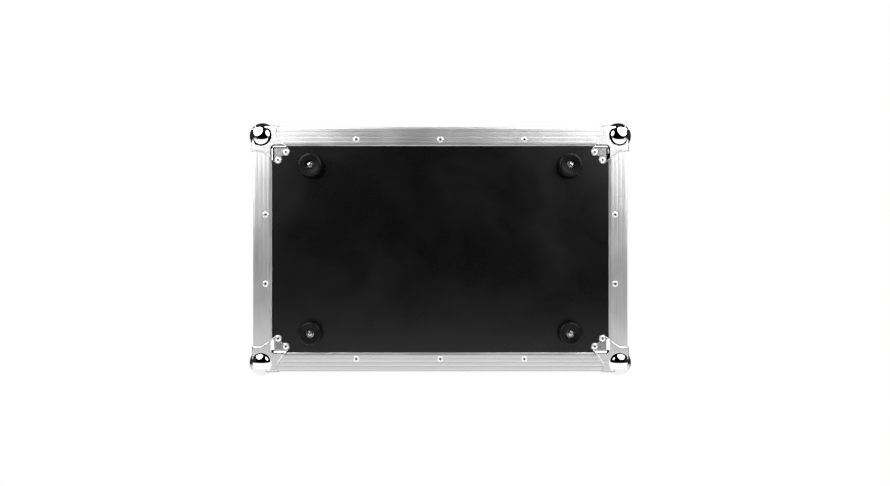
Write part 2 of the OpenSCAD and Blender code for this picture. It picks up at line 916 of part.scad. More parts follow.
module keeper_dish(right) {
    lip_w = hook_w;
    color(steel) at_latch(right) {
        translate([0, 0, parting_gap]) mirror([0, 0, 1]) dish_pan(pocket_rise);
        translate([-lip_w / 2, lip_y, parting_gap + lip_foot])
            cube([lip_w, pocket_depth - lip_y + dish_t / 2, lip_t]);
        translate([-lip_w / 2, lip_y, parting_gap + lip_foot])
            cube([lip_w, lip_t, lip_top - lip_foot]);
    }
}

// Spindle: cheeks and pin for the wings, collar, eccentric, journal and peened end
module latch_spindle(right) {
    cheek = wing_knuckle_half + cheek_gap;
    color(steel) at_latch(right) translate([0, 0, -spindle_drop]) {
        difference() {
            union() {
                plate(head_y, collar_y - head_y + over) circle(head_r);
                plate(collar_y, collar_t) circle(collar_r);
            }
            translate([-cheek, head_y - over, -2 * head_r])
                cube([2 * cheek, wing_axis_y + wing_knuckle_r + cheek_gap - head_y + over,
                    4 * head_r]);
        }
        translate([0, wing_axis_y, 0]) rotate([0, 90, 0])
            cylinder(h = 2 * cheek + over, r = wing_pin_r, center = true);
        translate([0, 0, hook_throw / 2])
            plate(collar_y + collar_t / 2, draw_y + draw_t - collar_y - collar_t / 2)
                circle(eccentric_r);
        plate(draw_y, dish_back - draw_y + dish_t) circle(journal_r);
        plate(dish_back + guide_gap, dish_t) circle(1.5 * journal_r);
    }
}

// Outline of the two wings, hanging from the pin when folded flat
wing_rise = 2;
head_gap = 0.8;

module wing_outline() {
    lobe_x = wing_reach - wing_lobe;
    lobe_z = wing_lobe - wing_rise;
    notch = head_r + head_gap;
    difference() {
        union() {
            for (x = [-1, 1]) translate([x * lobe_x, -lobe_z]) circle(wing_lobe);
            translate([-lobe_x, -lobe_z - wing_lobe * 0.8]) square([2 * lobe_x, wing_lobe]);
        }
        translate([-notch, -wing_neck]) square([2 * notch, 2 * wing_lobe]);
    }
}

module latch_wing(right) {
    half = wing_knuckle_half;
    color(steel) at_latch(right) translate([0, 0, -spindle_drop]) difference() {
        union() {
            plate(wing_y, wing_t) wing_outline();
            translate([0, wing_axis_y, 0]) rotate([0, 90, 0])
                cylinder(h = 2 * half, r = wing_knuckle_r, center = true);
            rotate([90, 0, 90]) linear_extrude(2 * half, center = true)
                polygon([[wing_y, -3 * wing_neck], [wing_axis_y, -wing_knuckle_r],
                    [wing_axis_y, 0], [wing_axis_y - wing_knuckle_r, 0],
                    [wing_y, -wing_neck]]);
        }
        translate([0, wing_axis_y, 0]) rotate([0, 90, 0])
            cylinder(h = 4 * half, r = wing_pin_r + running_gap, center = true);
    }
}

// Draw plate: a yoke round the eccentric, with the hook's pin between two ears
module latch_draw(right) {
    raise = hook_throw;
    slot_half = eccentric_r + yoke_gap;
    slot_z = -spindle_drop + hook_throw / 2;
    pivot_z = -hook_pivot_drop + raise;
    plate_top = pivot_z - hook_knuckle_r - cheek_gap;
    plate_bottom = slot_z - slot_half - yoke_rim;
    ear = hook_w / 2 + cheek_gap;
    color(steel) at_latch(right) {
        difference() {
            union() {
                translate([-draw_half, draw_y, plate_bottom])
                    cube([2 * draw_half, draw_t, plate_top - plate_bottom]);
                for (x = [-1, 1]) translate([x * (draw_half + ear) / 2, 0, 0]) {
                    translate([-(draw_half - ear) / 2, draw_y, plate_top - over])
                        cube([draw_half - ear, draw_t, pivot_z - plate_top + over]);
                    translate([0, hook_pivot_y, pivot_z]) rotate([0, 90, 0])
                        cylinder(h = draw_half - ear, r = hook_knuckle_r, center = true);
                }
            }
            plate(draw_y - over, draw_t + 2 * over) translate([0, slot_z]) {
                square([hook_throw, 2 * slot_half], center = true);
                for (x = [-1, 1]) translate([x * hook_throw / 2, 0]) circle(slot_half);
            }
        }
        translate([0, hook_pivot_y, pivot_z]) rotate([0, 90, 0])
            cylinder(h = 2 * ear + over, r = hook_pin_r, center = true);
    }
}

// Heights on the hook above its pivot, and the drop of its nose
foot_rise = 2;
foot_share = 0.7;
hook_elbow = 11;
nose_drop = 3.8;

// Side view of the hook in depth and height from its pivot, as it stands when closed
module hook_section() {
    shank = lip_y - hook_gap_front - hook_t - hook_pivot_y;
    nose = lip_y + lip_t + hook_gap_back - hook_pivot_y;
    bridge = parting_gap + lip_top + parting_gap + hook_pivot_drop;
    tip = bridge - nose_drop;
    foot_out = -hook_knuckle_r * foot_share;
    foot_in = foot_out + hook_t + cheek_gap;
    polygon([[foot_out, 0], [foot_out, foot_rise], [shank, hook_elbow],
        [shank, bridge + hook_t], [nose + hook_t, bridge + hook_t], [nose + hook_t, tip],
        [nose, tip], [nose, bridge], [shank + hook_t, bridge],
        [shank + hook_t, hook_elbow + hook_t / 2], [foot_in, foot_rise + hook_t / 2],
        [foot_in, 0]]);
}

module latch_hook(right) {
    color(steel) at_latch(right)
        translate([0, hook_pivot_y, hook_throw - hook_pivot_drop])
            rotate([hook_lean, 0, 0]) difference() {
                union() {
                    rotate([90, 0, 90]) linear_extrude(hook_w, center = true) hook_section();
                    rotate([0, 90, 0]) cylinder(h = hook_w, r = hook_knuckle_r, center = true);
                }
                rotate([0, 90, 0])
                    cylinder(h = 2 * hook_w, r = hook_pin_r + running_gap, center = true);
            }
}

module latch_dish_left() { latch_dish(false); }
module latch_dish_right() { latch_dish(true); }
module keeper_dish_left() { keeper_dish(false); }
module keeper_dish_right() { keeper_dish(true); }
module latch_spindle_left() { latch_spindle(false); }
module latch_spindle_right() { latch_spindle(true); }
module latch_wing_left() { latch_wing(false); }
module latch_wing_right() { latch_wing(true); }
module latch_draw_left() { latch_draw(false); }
module latch_draw_right() { latch_draw(true); }
module latch_hook_left() { latch_hook(false); }
module latch_hook_right() { latch_hook(true); }

// Carrying handle, in the middle of the front

handle_z = rail_z + (rail_leg + base_h - closure_leg) / 2;
pivot_up = 21;
grip_down = 18;
bail_y = 8.6;
lug_t = 1;
eye_half = 3.5;
eye_r = 5.5;
coil_turns = spring_turns + 0.25;
coil_pitch = spring_wire + coil_gap;
coil_l = coil_turns * coil_pitch + spring_wire;
bail_half = grip_pocket_w / 2 - lug_t - coil_l - 2 * parting_gap - eye_half;

module at_handle() {
    side(0) translate([0, 0, handle_z]) children();
}

module handle_dish() {
    outer_w = grip_pocket_w + 2 * dish_t;
    outer_h = grip_pocket_h + 2 * dish_t;
    color(steel) at_handle() {
        difference() {
            union() {
                plate(flange_y, dish_t) round_rect(grip_pocket_w + 2 * flange_w,
                    grip_pocket_h + 2 * flange_w, pocket_round + dish_t);
                plate(flange_y, dish_back - flange_y)
                    round_rect(outer_w, outer_h, pocket_round + dish_t);
            }
            plate(-over, pocket_depth + over)
                round_rect(grip_pocket_w, grip_pocket_h, pocket_round);
        }
        // Pivot pins riveted into the side walls, each with a shoulder
        for (x = [-1, 1]) translate([x * grip_pocket_w / 2, bail_y, pivot_up])
            rotate([0, -90 * x, 0]) {
                cylinder(h = grip_pocket_w / 2 - bail_half + eye_half + over,
                    d = pivot_d);
                cylinder(h = lug_t, r = eye_r);
            }
    }
}

// Bail: two eyes on the pins, arms, bends and a straight rod through the grip
module handle_bail() {
    r = bail_d / 2;
    color(steel) at_handle() translate([0, bail_y, 0]) difference() {
        union() {
            for (x = [-1, 1]) {
                translate([x * bail_half, 0, pivot_up]) rotate([0, 90, 0])
                    cylinder(h = 2 * eye_half, r = eye_r, center = true);
                translate([x * bail_half, 0, bail_bend - grip_down])
                    cylinder(h = pivot_up + grip_down - bail_bend, r = r);
                translate([x * (bail_half - bail_bend), 0, bail_bend - grip_down])
                    rotate([90, 0, 0]) rotate([0, 0, x > 0 ? 270 : 180])
                        rotate_extrude(angle = 90) translate([bail_bend, 0]) circle(r);
            }
            translate([0, 0, -grip_down]) rotate([0, 90, 0])
                cylinder(h = 2 * (bail_half - bail_bend), r = r, center = true);
        }
        for (x = [-1, 1]) translate([x * bail_half, 0, pivot_up]) rotate([0, 90, 0])
            cylinder(h = 4 * eye_half, d = pivot_d + 2 * running_gap, center = true);
    }
}

// Ribbed rubber sleeve on the rod
module handle_grip() {
    length = 2 * (bail_half - bail_bend) - over;
    ribs = 7;
    rib_w = length / 22;
    color(rubber) at_handle() translate([0, bail_y, -grip_down]) rotate([0, 90, 0])
        difference() {
            union() {
                cylinder(h = length, d = grip_d - over, center = true);
                for (i = [0:ribs])
                    translate([0, 0, (i / ribs - 0.5) * (length - 2 * rib_w)])
                        cylinder(h = rib_w, d = grip_d, center = true);
            }
            cylinder(h = 2 * length, d = bail_d + 2 * running_gap, center = true);
        }
}

// Round-wire coil on the left pin: one leg points at the back of the dish, short enough
// to clear it as the bail swings, and the other hooks over the arm
function coil_point(t, r) = [coil_pitch * t, -r * sin(360 * t), r * cos(360 * t)];

module coil(turns, r, wire) {
    steps = 24;
    n = turns * steps;
    ring = [for (i = [0:n], a = [0:60:300])
        let (t = i / steps)
        coil_point(t, r) + wire / 2 * [sin(a), -cos(a) * sin(360 * t), cos(a) * cos(360 * t)]];
    faces = [for (i = [0:n - 1], k = [0:5], tri = [0, 1])
        let (a = 6 * i + k, b = 6 * i + (k + 1) % 6)
        tri == 0 ? [a, b, a + 6] : [b, b + 6, a + 6]];
    caps = [for (k = [1:4]) each [[0, k + 1, k], [6 * n, 6 * n + k, 6 * n + k + 1]]];
    polyhedron(ring, concat(faces, caps));
}

// Straight leg along z, drawn a little thinner so that it starts inside the coil's end
leg_share = 0.86;
leg_root = 0.2;

module wire_leg(length) {
    translate([0, 0, -leg_root]) cylinder(h = length + leg_root, d = leg_share * spring_wire);
}

// Least gap between turns, from points on the coil's middle line
coil_steps = 48;
coil_r = pivot_d / 2 + spring_wire / 2 + 2 * running_gap;
coil_apart = min([for (i = [0:coil_steps], j = [coil_steps / 2:coil_turns * coil_steps - i])
    norm(coil_point((i + j) / coil_steps, coil_r) - coil_point(i / coil_steps, coil_r))]);
echo(least_gap_between_spring_turns_mm = coil_apart - spring_wire);

module handle_spring() {
    start = -grip_pocket_w / 2 + lug_t + parting_gap + spring_wire / 2;
    end = coil_pitch * coil_turns;
    drop = eye_r + 2 * spring_wire;
    // The leg leans out, so that its end passes in front of the arm
    out = bail_d / 2 + spring_wire / 2 + 2 * running_gap - coil_r;
    lean = atan(out / drop);
    sweep = pocket_depth - bail_y - parting_gap;
    back_leg = sqrt(pow(sweep, 2) - pow(coil_r + spring_wire / 2, 2));
    color(steel) at_handle() translate([start, bail_y, pivot_up]) {
        coil(coil_turns, coil_r, spring_wire);
        translate([0, 0, coil_r]) rotate([-90, 0, 0]) wire_leg(back_leg);
        translate([end, -coil_r, 0]) rotate([180 - lean, 0, 0]) wire_leg(drop / cos(lean));
        translate([end, -coil_r - out, -drop]) {
            sphere(d = spring_wire);
            rotate([0, 90, 0]) wire_leg(2 * eye_half + spring_wire);
        }
    }
}

// Stay hinges

knuckle_gap = 0.4;
pin_gap = 0.08;
ear_t = 3;
ear_reach = 6;
hinge_z = part_z + parting_gap / 2;
knuckle_l = (hinge_l - 4 * knuckle_gap) / 5;

// Frame of a hinge: y inward and z up from the pin's axis
module at_hinges() {
    for (x = [-1, 1]) side(180) translate([x * hinge_x, -hinge_out, hinge_z]) children();
}

function knuckle_x(i) = (i - 2) * (knuckle_l + knuckle_gap);

module hinge_bore() {
    rotate([0, 90, 0])
        cylinder(h = 2 * hinge_l, r = hinge_pin_r + pin_gap, center = true);
}

// One leaf below the axis, with the knuckles of the list; the others' places are cut clear
module leaf(own, others) {
    inner = hinge_out - leaf_t;
    half = hinge_l / 2 + ear_t + over;
    drop = parting_gap / 2;
    difference() {
        union() {
            plate(inner, leaf_t) leaf_outline(half, drop);
            for (i = own) {
                translate([knuckle_x(i), 0, 0]) rotate([0, 90, 0])
                    cylinder(h = knuckle_l, r = knuckle_r, center = true);
                translate([knuckle_x(i) - knuckle_l / 2, inner, -knuckle_r])
                    cube([knuckle_l, leaf_t, knuckle_r]);
            }
        }
        for (i = others) translate([knuckle_x(i), 0, 0]) rotate([0, 90, 0])
            cylinder(h = knuckle_l + 2 * knuckle_gap, r = knuckle_r + knuckle_gap,
                center = true);
        hinge_bore();
    }
}

module leaf_outline(half, drop) {
    r = 3 * leaf_t;
    translate([-half, -hinge_leaf + r]) square([2 * half, hinge_leaf - r - drop]);
    translate([-half + r, -hinge_leaf]) square([2 * (half - r), hinge_leaf - drop]);
    for (x = [-1, 1]) translate([x * (half - r), -hinge_leaf + r]) circle(r);
}

// Stay ear: its sloping top meets the lid's leaf when the lid has opened fully
module stay_ear() {
    inner = hinge_out - leaf_t;
    lean = lid_stop - 90;
    near = -leaf_t / 2;
    z_near = inner / cos(lean) - parting_gap + near * tan(lean);
    z_far = inner / cos(lean) - parting_gap - ear_reach * tan(lean);
    rotate([90, 0, 90]) linear_extrude(ear_t, center = true)
        polygon([[hinge_out, -parting_gap / 2], [inner - knuckle_gap, -parting_gap / 2],
            [leaf_t / 2, z_near], [-ear_reach, z_far], [-ear_reach, z_far - knuckle_r],
            [inner, -hinge_leaf + knuckle_r], [hinge_out, -hinge_leaf + knuckle_r]]);
}

module hinge_base_leaves() {
    color(chrome) at_hinges() {
        leaf([0, 2, 4], [1, 3]);
        for (x = [-1, 1]) translate([x * (hinge_l / 2 + over + ear_t / 2), 0, 0]) stay_ear();
    }
}

module hinge_lid_leaves() {
    color(chrome) at_hinges() mirror([0, 0, 1]) leaf([1, 3], [0, 2, 4]);
}

module hinge_pins() {
    color(steel) at_hinges() rotate([0, 90, 0])
        cylinder(h = hinge_l + 2 * knuckle_gap, r = hinge_pin_r, center = true);
}

bottom_panel();
base_front_panel();
base_back_panel();
base_left_panel();
base_right_panel();
lid_top_panel();
lid_front_panel();
lid_back_panel();
lid_left_panel();
lid_right_panel();
bottom_front_rail();
bottom_back_rail();
bottom_left_rail();
bottom_right_rail();
lid_front_rail();
lid_back_rail();
lid_left_rail();
lid_right_rail();
base_corner_posts();
lid_corner_posts();
base_closure();
lid_closure();
bottom_ball_front_left();
bottom_ball_front_right();
bottom_ball_back_left();
bottom_ball_back_right();
lid_ball_front_left();
lid_ball_front_right();
lid_ball_back_left();
lid_ball_back_right();
base_rim_braces();
lid_rim_braces();
rubber_feet();
foot_screws();
base_rivets();
lid_rivets();
base_foam_floor();
base_foam_front();
base_foam_sides();
lid_foam_top();
lid_foam_sides();
latch_dish_left();
latch_dish_right();
keeper_dish_left();
keeper_dish_right();
latch_spindle_left();
latch_spindle_right();
latch_wing_left();
latch_wing_right();
latch_draw_left();
latch_draw_right();
latch_hook_left();
latch_hook_right();
handle_dish();
handle_bail();
handle_grip();
handle_spring();
hinge_base_leaves();
hinge_lid_leaves();
hinge_pins();
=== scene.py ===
# %% [markdown]
# # A mixer flight case, seen from below
# The case is two trays of laminated board in aluminium edging, joined by hinges and held shut
# by two recessed latches. The photograph looks straight up at the underside: black board,
# silver rails, ball corners of bright pressed steel and four rubber feet.
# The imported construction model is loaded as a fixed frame. What has the right shape keeps its
# solid and gets a finish. What needs softer edges, a crowned face or a pressed form is
# modelled here as a piece of its own, which stands for the solid.

# %% Load the frame
import json
import math

import bmesh
import bpy
from mathutils import Matrix, Vector, noise

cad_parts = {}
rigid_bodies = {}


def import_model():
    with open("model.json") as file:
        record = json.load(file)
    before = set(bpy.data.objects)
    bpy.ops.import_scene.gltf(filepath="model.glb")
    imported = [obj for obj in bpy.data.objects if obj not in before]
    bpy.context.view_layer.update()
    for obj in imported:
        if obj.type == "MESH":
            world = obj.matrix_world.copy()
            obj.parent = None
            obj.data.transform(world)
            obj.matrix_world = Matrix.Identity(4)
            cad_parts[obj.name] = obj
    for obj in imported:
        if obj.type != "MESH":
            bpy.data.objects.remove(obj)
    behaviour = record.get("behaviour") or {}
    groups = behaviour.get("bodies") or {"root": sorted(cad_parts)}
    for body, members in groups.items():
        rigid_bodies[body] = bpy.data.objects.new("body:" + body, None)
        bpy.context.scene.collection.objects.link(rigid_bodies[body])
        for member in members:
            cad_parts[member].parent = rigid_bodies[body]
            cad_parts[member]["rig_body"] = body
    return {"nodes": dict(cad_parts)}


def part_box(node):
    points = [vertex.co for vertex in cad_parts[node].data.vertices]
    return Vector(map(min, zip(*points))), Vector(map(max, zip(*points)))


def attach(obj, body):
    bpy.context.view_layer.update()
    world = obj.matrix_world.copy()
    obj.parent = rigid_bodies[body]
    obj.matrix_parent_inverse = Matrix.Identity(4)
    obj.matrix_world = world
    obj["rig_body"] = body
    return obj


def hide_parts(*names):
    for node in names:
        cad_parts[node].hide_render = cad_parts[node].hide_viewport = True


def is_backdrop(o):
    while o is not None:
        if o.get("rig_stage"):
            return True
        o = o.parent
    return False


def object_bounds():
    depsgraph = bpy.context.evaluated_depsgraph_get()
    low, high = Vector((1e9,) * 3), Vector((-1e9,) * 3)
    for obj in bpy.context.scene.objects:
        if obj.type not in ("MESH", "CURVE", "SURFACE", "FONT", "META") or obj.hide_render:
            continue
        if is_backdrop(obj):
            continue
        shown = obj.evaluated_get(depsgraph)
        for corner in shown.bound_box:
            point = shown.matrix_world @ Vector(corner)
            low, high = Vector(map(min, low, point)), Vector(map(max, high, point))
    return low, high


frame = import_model()
cad_box = [list(corner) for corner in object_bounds()]
MM = 0.001
print("solid box in mm:", [[round(c / MM, 1) for c in corner] for corner in cad_box])

# %% [markdown]
# ## The camera
# The photograph is taken square on from below, so nothing of the sides shows. The camera
# stands 1.5 m under the case. Turned half a turn about X, it looks along +Z with -Y at the top
# of the picture. The lens follows from the width of the case in the picture, and the small
# shift from where its middle lies.

# %% Camera below the case
UNDERSIDE_Z = 13.5 * MM
PHOTO_DISTANCE, SENSOR_WIDTH, FOCAL_LENGTH = 1.5, 36, 38.16
SHIFT_X, SHIFT_Y = 7.5 * MM, -9.9 * MM


def put_in_scene(name, data):
    thing = bpy.data.objects.new(name, data)
    bpy.context.scene.collection.objects.link(thing)
    return thing


photo_lens = bpy.data.cameras.new("photo_view")
photo_lens.sensor_width, photo_lens.lens = SENSOR_WIDTH, FOCAL_LENGTH
photo_view = put_in_scene("photo_view", photo_lens)
photo_view.location = (SHIFT_X, SHIFT_Y, UNDERSIDE_Z - PHOTO_DISTANCE)
photo_view.rotation_euler = (math.pi, 0, 0)
bpy.context.scene.camera = photo_view
bpy.context.scene.view_settings.view_transform = "Standard"
print("camera at", tuple(round(c, 3) for c in photo_view.location))

# %% [markdown]
# ## Node helpers
# Every finish below is a small tree of shader nodes. A few helpers keep those trees short.
# The first adds a node and fills its sockets, where a value may be a number or another node's
# output. Three more do sums, stretch a range and blend two colours. The last two start a
# material whose Principled shader has plain values to begin with, and write a grey.

# %% Helpers that add nodes
def add(tree, kind, values=None, **settings):
    made = tree.nodes.new(kind)
    for name, value in settings.items():
        setattr(made, name, value)
    for key, value in (values or {}).items():
        socket = made.inputs[key]
        if isinstance(value, bpy.types.NodeSocket):
            tree.links.new(value, socket)
        else:
            socket.default_value = value
    return made


def maths(tree, operation, a, b=0.0):
    return add(tree, "ShaderNodeMath", {0: a, 1: b}, operation=operation).outputs[0]


def spread(tree, value, low, high, to_low=0.0, to_high=1.0):
    """Carries the range low..high over to another range, and clamps what lies outside."""
    return add(tree, "ShaderNodeMapRange", {
        "Value": value, "From Min": low, "From Max": high,
        "To Min": to_low, "To Max": to_high}).outputs[0]


def blend_colours(tree, mask, first, second):
    return add(tree, "ShaderNodeMix", {0: mask, 6: first, 7: second},
               data_type="RGBA").outputs[2]


def new_finish(name, colour, roughness, metallic=0.0):
    finish = bpy.data.materials.new(name)
    finish.use_nodes = True
    finish.diffuse_color = colour
    shader = finish.node_tree.nodes["Principled BSDF"]
    shader.inputs["Base Color"].default_value = colour
    shader.inputs["Roughness"].default_value = roughness
    shader.inputs["Metallic"].default_value = metallic
    return finish, finish.node_tree, shader


def grey(level):
    return (level, level, level, 1)


# %% [markdown]
# ## Floor and background
# The case stands on a plain pale floor. Seen from above the floor is there with the shadow on
# it, and far away it fades into the white background. The photograph looks from below, where
# no floor was, so the floor lets the camera through from its back. What the underside mirrors
# and what lights it lies below the floor too. So a path that came in through the floor may
# leave through it again: Light Path's Transparent Depth counts the see-through faces that a
# path has passed. A path from above has passed none, and meets a plain solid floor.

# %% Floor
FLOOR_SIZE = 14
FADE_FROM, FADE_TO = 0.7, 2.6


def as_mesh(name, shape):
    """Hands a bmesh over to a new mesh."""
    mesh = bpy.data.meshes.new(name)
    shape.to_mesh(mesh)
    shape.free()
    return mesh


plane = bmesh.new()
bmesh.ops.create_grid(plane, x_segments=1, y_segments=1, size=FLOOR_SIZE / 2)
floor = put_in_scene("floor", as_mesh("floor", plane))
floor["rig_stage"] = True


def came_through_floor(tree):
    """1 for a path that has come through the floor, or else 0."""
    passed = add(tree, "ShaderNodeLightPath").outputs["Transparent Depth"]
    return maths(tree, "MINIMUM", passed, 1.0)


pale_floor, tree, shader = new_finish("pale_floor", grey(0.8), 0.9)
ray = add(tree, "ShaderNodeLightPath").outputs["Is Camera Ray"]
from_below = add(tree, "ShaderNodeNewGeometry").outputs["Backfacing"]
see_through = maths(tree, "MAXIMUM", maths(tree, "MULTIPLY", ray, from_below),
                    came_through_floor(tree))
distance = add(tree, "ShaderNodeVectorMath", {
    0: add(tree, "ShaderNodeTexCoord").outputs["Object"]}, operation="LENGTH")
far_away = maths(tree, "MULTIPLY", ray, spread(
    tree, distance.outputs["Value"], FADE_FROM, FADE_TO))
white = add(tree, "ShaderNodeEmission", {"Color": grey(1), "Strength": 1.0})
faded = add(tree, "ShaderNodeMixShader", {
    0: far_away, 1: shader.outputs[0], 2: white.outputs[0]})
opened = add(tree, "ShaderNodeMixShader", {
    0: see_through, 1: faded.outputs[0],
    2: add(tree, "ShaderNodeBsdfTransparent").outputs[0]})
tree.links.new(opened.outputs[0], tree.nodes["Material Output"].inputs["Surface"])
floor.data.materials.append(pale_floor)
print("floor is", FLOOR_SIZE, "m wide")

# %% [markdown]
# The background is white where the camera sees it. Bright metal is mostly what it reflects,
# so for mirror rays the world is a room. For the view from below it is the photograph's: dark,
# but for the pale wall behind the table. For the views from above it is a plain studio that
# grows brighter from the horizon to the ceiling.

# %% World
studio = bpy.data.worlds.new("studio")
bpy.context.scene.world = studio
studio.use_nodes = True
tree = studio.node_tree


def mix_numbers(tree, share, first, second):
    return add(tree, "ShaderNodeMix", {0: share, 2: first, 3: second},
               data_type="FLOAT").outputs[0]


backwards, upwards = add(tree, "ShaderNodeSeparateXYZ", {
    0: add(tree, "ShaderNodeTexCoord").outputs["Generated"]}).outputs[1:]
wall = maths(tree, "MULTIPLY", spread(tree, backwards, 0.15, 0.40, 0.02, 1.0),
             spread(tree, upwards, -0.65, -0.50))
ceiling = spread(tree, upwards, 0.0, 0.9, 0.18, 0.8)
ambient = spread(tree, upwards, -0.1, 0.3, 0.03, 0.45)
light_path = add(tree, "ShaderNodeLightPath")
mirrored = mix_numbers(tree, came_through_floor(tree), ceiling, wall)
reflected = mix_numbers(tree, light_path.outputs["Is Glossy Ray"], ambient, mirrored)
seen = mix_numbers(tree, light_path.outputs["Is Camera Ray"], reflected, 1.0)
tree.links.new(seen, tree.nodes["Background"].inputs["Strength"])
tree.nodes["Background"].inputs["Color"].default_value = grey(1)
print("world set")

# %% [markdown]
# ## Lamps
# The balls in the photograph are small mirrors, and what they show gives the lamps' places:
# two round softboxes close in front of the case, left and right above its middle, and the
# white table that the case stood on, up to its front edge. The same three are area lamps
# here, and they light only what is seen through the floor. Four softer lamps above light the
# case for every other view.

# %% Area lamps
def area_lamp(name, place, target, size, brightness, below=False, top=(0, 1, 0),
              shape="RECTANGLE"):
    """Lamp whose face shows the given brightness in a mirror."""
    lamp = bpy.data.lights.new(name, "AREA")
    lamp.shape = shape
    lamp.size, lamp.size_y = size
    filled = math.pi / 4 if shape == "ELLIPSE" else 1.0
    lamp.energy = brightness * math.pi * size[0] * size[1] * filled
    lamp.use_nodes = True
    tree = lamp.node_tree
    through = came_through_floor(tree)
    switch = through if below else maths(tree, "SUBTRACT", 1.0, through)
    tree.links.new(switch, tree.nodes["Emission"].inputs["Strength"])
    holder = put_in_scene(name, lamp)
    forward = (Vector(target) - Vector(place)).normalized()
    side = forward.cross(Vector(top)).normalized()
    up = side.cross(forward)
    turn = Matrix((side, up, -forward)).transposed().to_4x4()
    holder.matrix_world = Matrix.Translation(place) @ turn
    holder.visible_camera = False


UNDERSIDE, MIDDLE = (0, 0, UNDERSIDE_Z), (0, 0, 0.1)
area_lamp("softbox_left", (-0.490, -0.455, -0.300), UNDERSIDE, (0.69, 0.72), 5.2,
          below=True, shape="ELLIPSE")
area_lamp("softbox_right", (0.500, -0.495, -0.355), UNDERSIDE, (0.80, 0.86), 4.6,
          below=True, shape="ELLIPSE")
area_lamp("white_table", (0, 0.204, -0.2885), (0, 0, -0.2885), (1.5, 0.575), 1.15,
          below=True, top=(0, 0, 1))
area_lamp("key_above", (-1.3, -1.7, 2.1), MIDDLE, (1.5, 1.1), 4.0)
area_lamp("fill_above", (1.9, -1.1, 1.4), MIDDLE, (1.2, 1.2), 1.6)
area_lamp("back_above", (0.5, 2.0, 1.7), MIDDLE, (1.6, 1.0), 1.6)
area_lamp("top_above", (0, 0, 2.6), MIDDLE, (2.0, 1.6), 1.6)

# %% [markdown]
# ## Shared surface effects
# Some effects turn up in several finishes: a fine grain, lines drawn along a profile, hair
# scratches and the haze of handling. Each is a node group with named inputs, built once. A
# group puts out only masks and heights, and the Principled shader stays in the material.

# %% Helpers that start a node group and use it
def new_effect(name, inputs, outputs):
    tree = bpy.data.node_groups.new(name, "ShaderNodeTree")
    for label, kind, value in inputs:
        socket = tree.interface.new_socket(name=label, in_out="INPUT", socket_type=kind)
        if value is not None:
            socket.default_value = value
    for label in outputs:
        tree.interface.new_socket(name=label, in_out="OUTPUT", socket_type="NodeSocketFloat")
    source = tree.nodes.new("NodeGroupInput")
    result = tree.nodes.new("NodeGroupOutput")
    return tree, source.outputs, result.inputs


def use_effect(tree, effect, values):
    return add(tree, "ShaderNodeGroup", values, node_tree=effect).outputs


VECTOR, NUMBER = "NodeSocketVector", "NodeSocketFloat"

# %% Fine grain: rounded bumps that vary in height
fine_grain, given, result = new_effect("fine_grain", [
    ("Vector", VECTOR, None), ("Scale", NUMBER, 900.0)], ["Height", "Patches"])
cells = add(fine_grain, "ShaderNodeTexVoronoi", {
    "Vector": given["Vector"], "Scale": given["Scale"]}, feature="SMOOTH_F1")
cells.inputs["Smoothness"].default_value = 0.6
uneven = add(fine_grain, "ShaderNodeTexNoise", {
    "Vector": given["Vector"], "Scale": maths(fine_grain, "MULTIPLY", given["Scale"], 0.45),
    "Detail": 3.0, "Roughness": 0.6})
patches = add(fine_grain, "ShaderNodeTexNoise", {
    "Vector": given["Vector"], "Scale": maths(fine_grain, "MULTIPLY", given["Scale"], 0.02),
    "Detail": 4.0})
height = maths(fine_grain, "MULTIPLY", maths(fine_grain, "SUBTRACT", 1.0,
                                             cells.outputs["Distance"]),
               uneven.outputs[0])
fine_grain.links.new(height, result["Height"])
fine_grain.links.new(spread(fine_grain, patches.outputs[0], 0.35, 0.65), result["Patches"])
print("effect:", fine_grain.name)

# %% Drawn lines: fine streaks along one axis
drawn_lines, given, result = new_effect("drawn_lines", [
    ("Vector", VECTOR, None), ("Stretch", VECTOR, (0.01, 1.0, 1.0))], ["Lines", "Bands"])
stretched = add(drawn_lines, "ShaderNodeVectorMath", {
    0: given["Vector"], 1: given["Stretch"]}, operation="MULTIPLY").outputs[0]
fine = add(drawn_lines, "ShaderNodeTexNoise", {
    "Vector": stretched, "Scale": 2600.0, "Detail": 2.0, "Roughness": 0.7})
broad = add(drawn_lines, "ShaderNodeTexNoise", {
    "Vector": stretched, "Scale": 420.0, "Detail": 3.0, "Roughness": 0.55})
drawn_lines.links.new(spread(drawn_lines, fine.outputs[0], 0.3, 0.7), result["Lines"])
drawn_lines.links.new(spread(drawn_lines, broad.outputs[0], 0.3, 0.7), result["Bands"])
print("effect:", drawn_lines.name)

# %% Hair scratches: thin lines at many angles
hair_scratches, given, result = new_effect("hair_scratches", [
    ("Vector", VECTOR, None), ("Scale", NUMBER, 60.0)], ["Scratches"])
total = None
for tilt in (0.4, 1.5, 2.6):
    turned = add(hair_scratches, "ShaderNodeVectorRotate", {
        "Vector": given["Vector"], "Axis": (0.3, 0.5, 0.8), "Angle": tilt},
        rotation_type="AXIS_ANGLE").outputs[0]
    long_lines = add(hair_scratches, "ShaderNodeVectorMath", {
        0: turned, 1: (0.06, 1.0, 1.0)}, operation="MULTIPLY").outputs[0]
    crossing = add(hair_scratches, "ShaderNodeTexNoise", {
        "Vector": long_lines, "Scale": maths(hair_scratches, "MULTIPLY", given["Scale"], 8.0),
        "Detail": 1.0}).outputs[0]
    thin = spread(hair_scratches, crossing, 0.70, 0.74)
    total = thin if total is None else maths(hair_scratches, "MAXIMUM", total, thin)
hair_scratches.links.new(total, result["Scratches"])
print("effect:", hair_scratches.name)

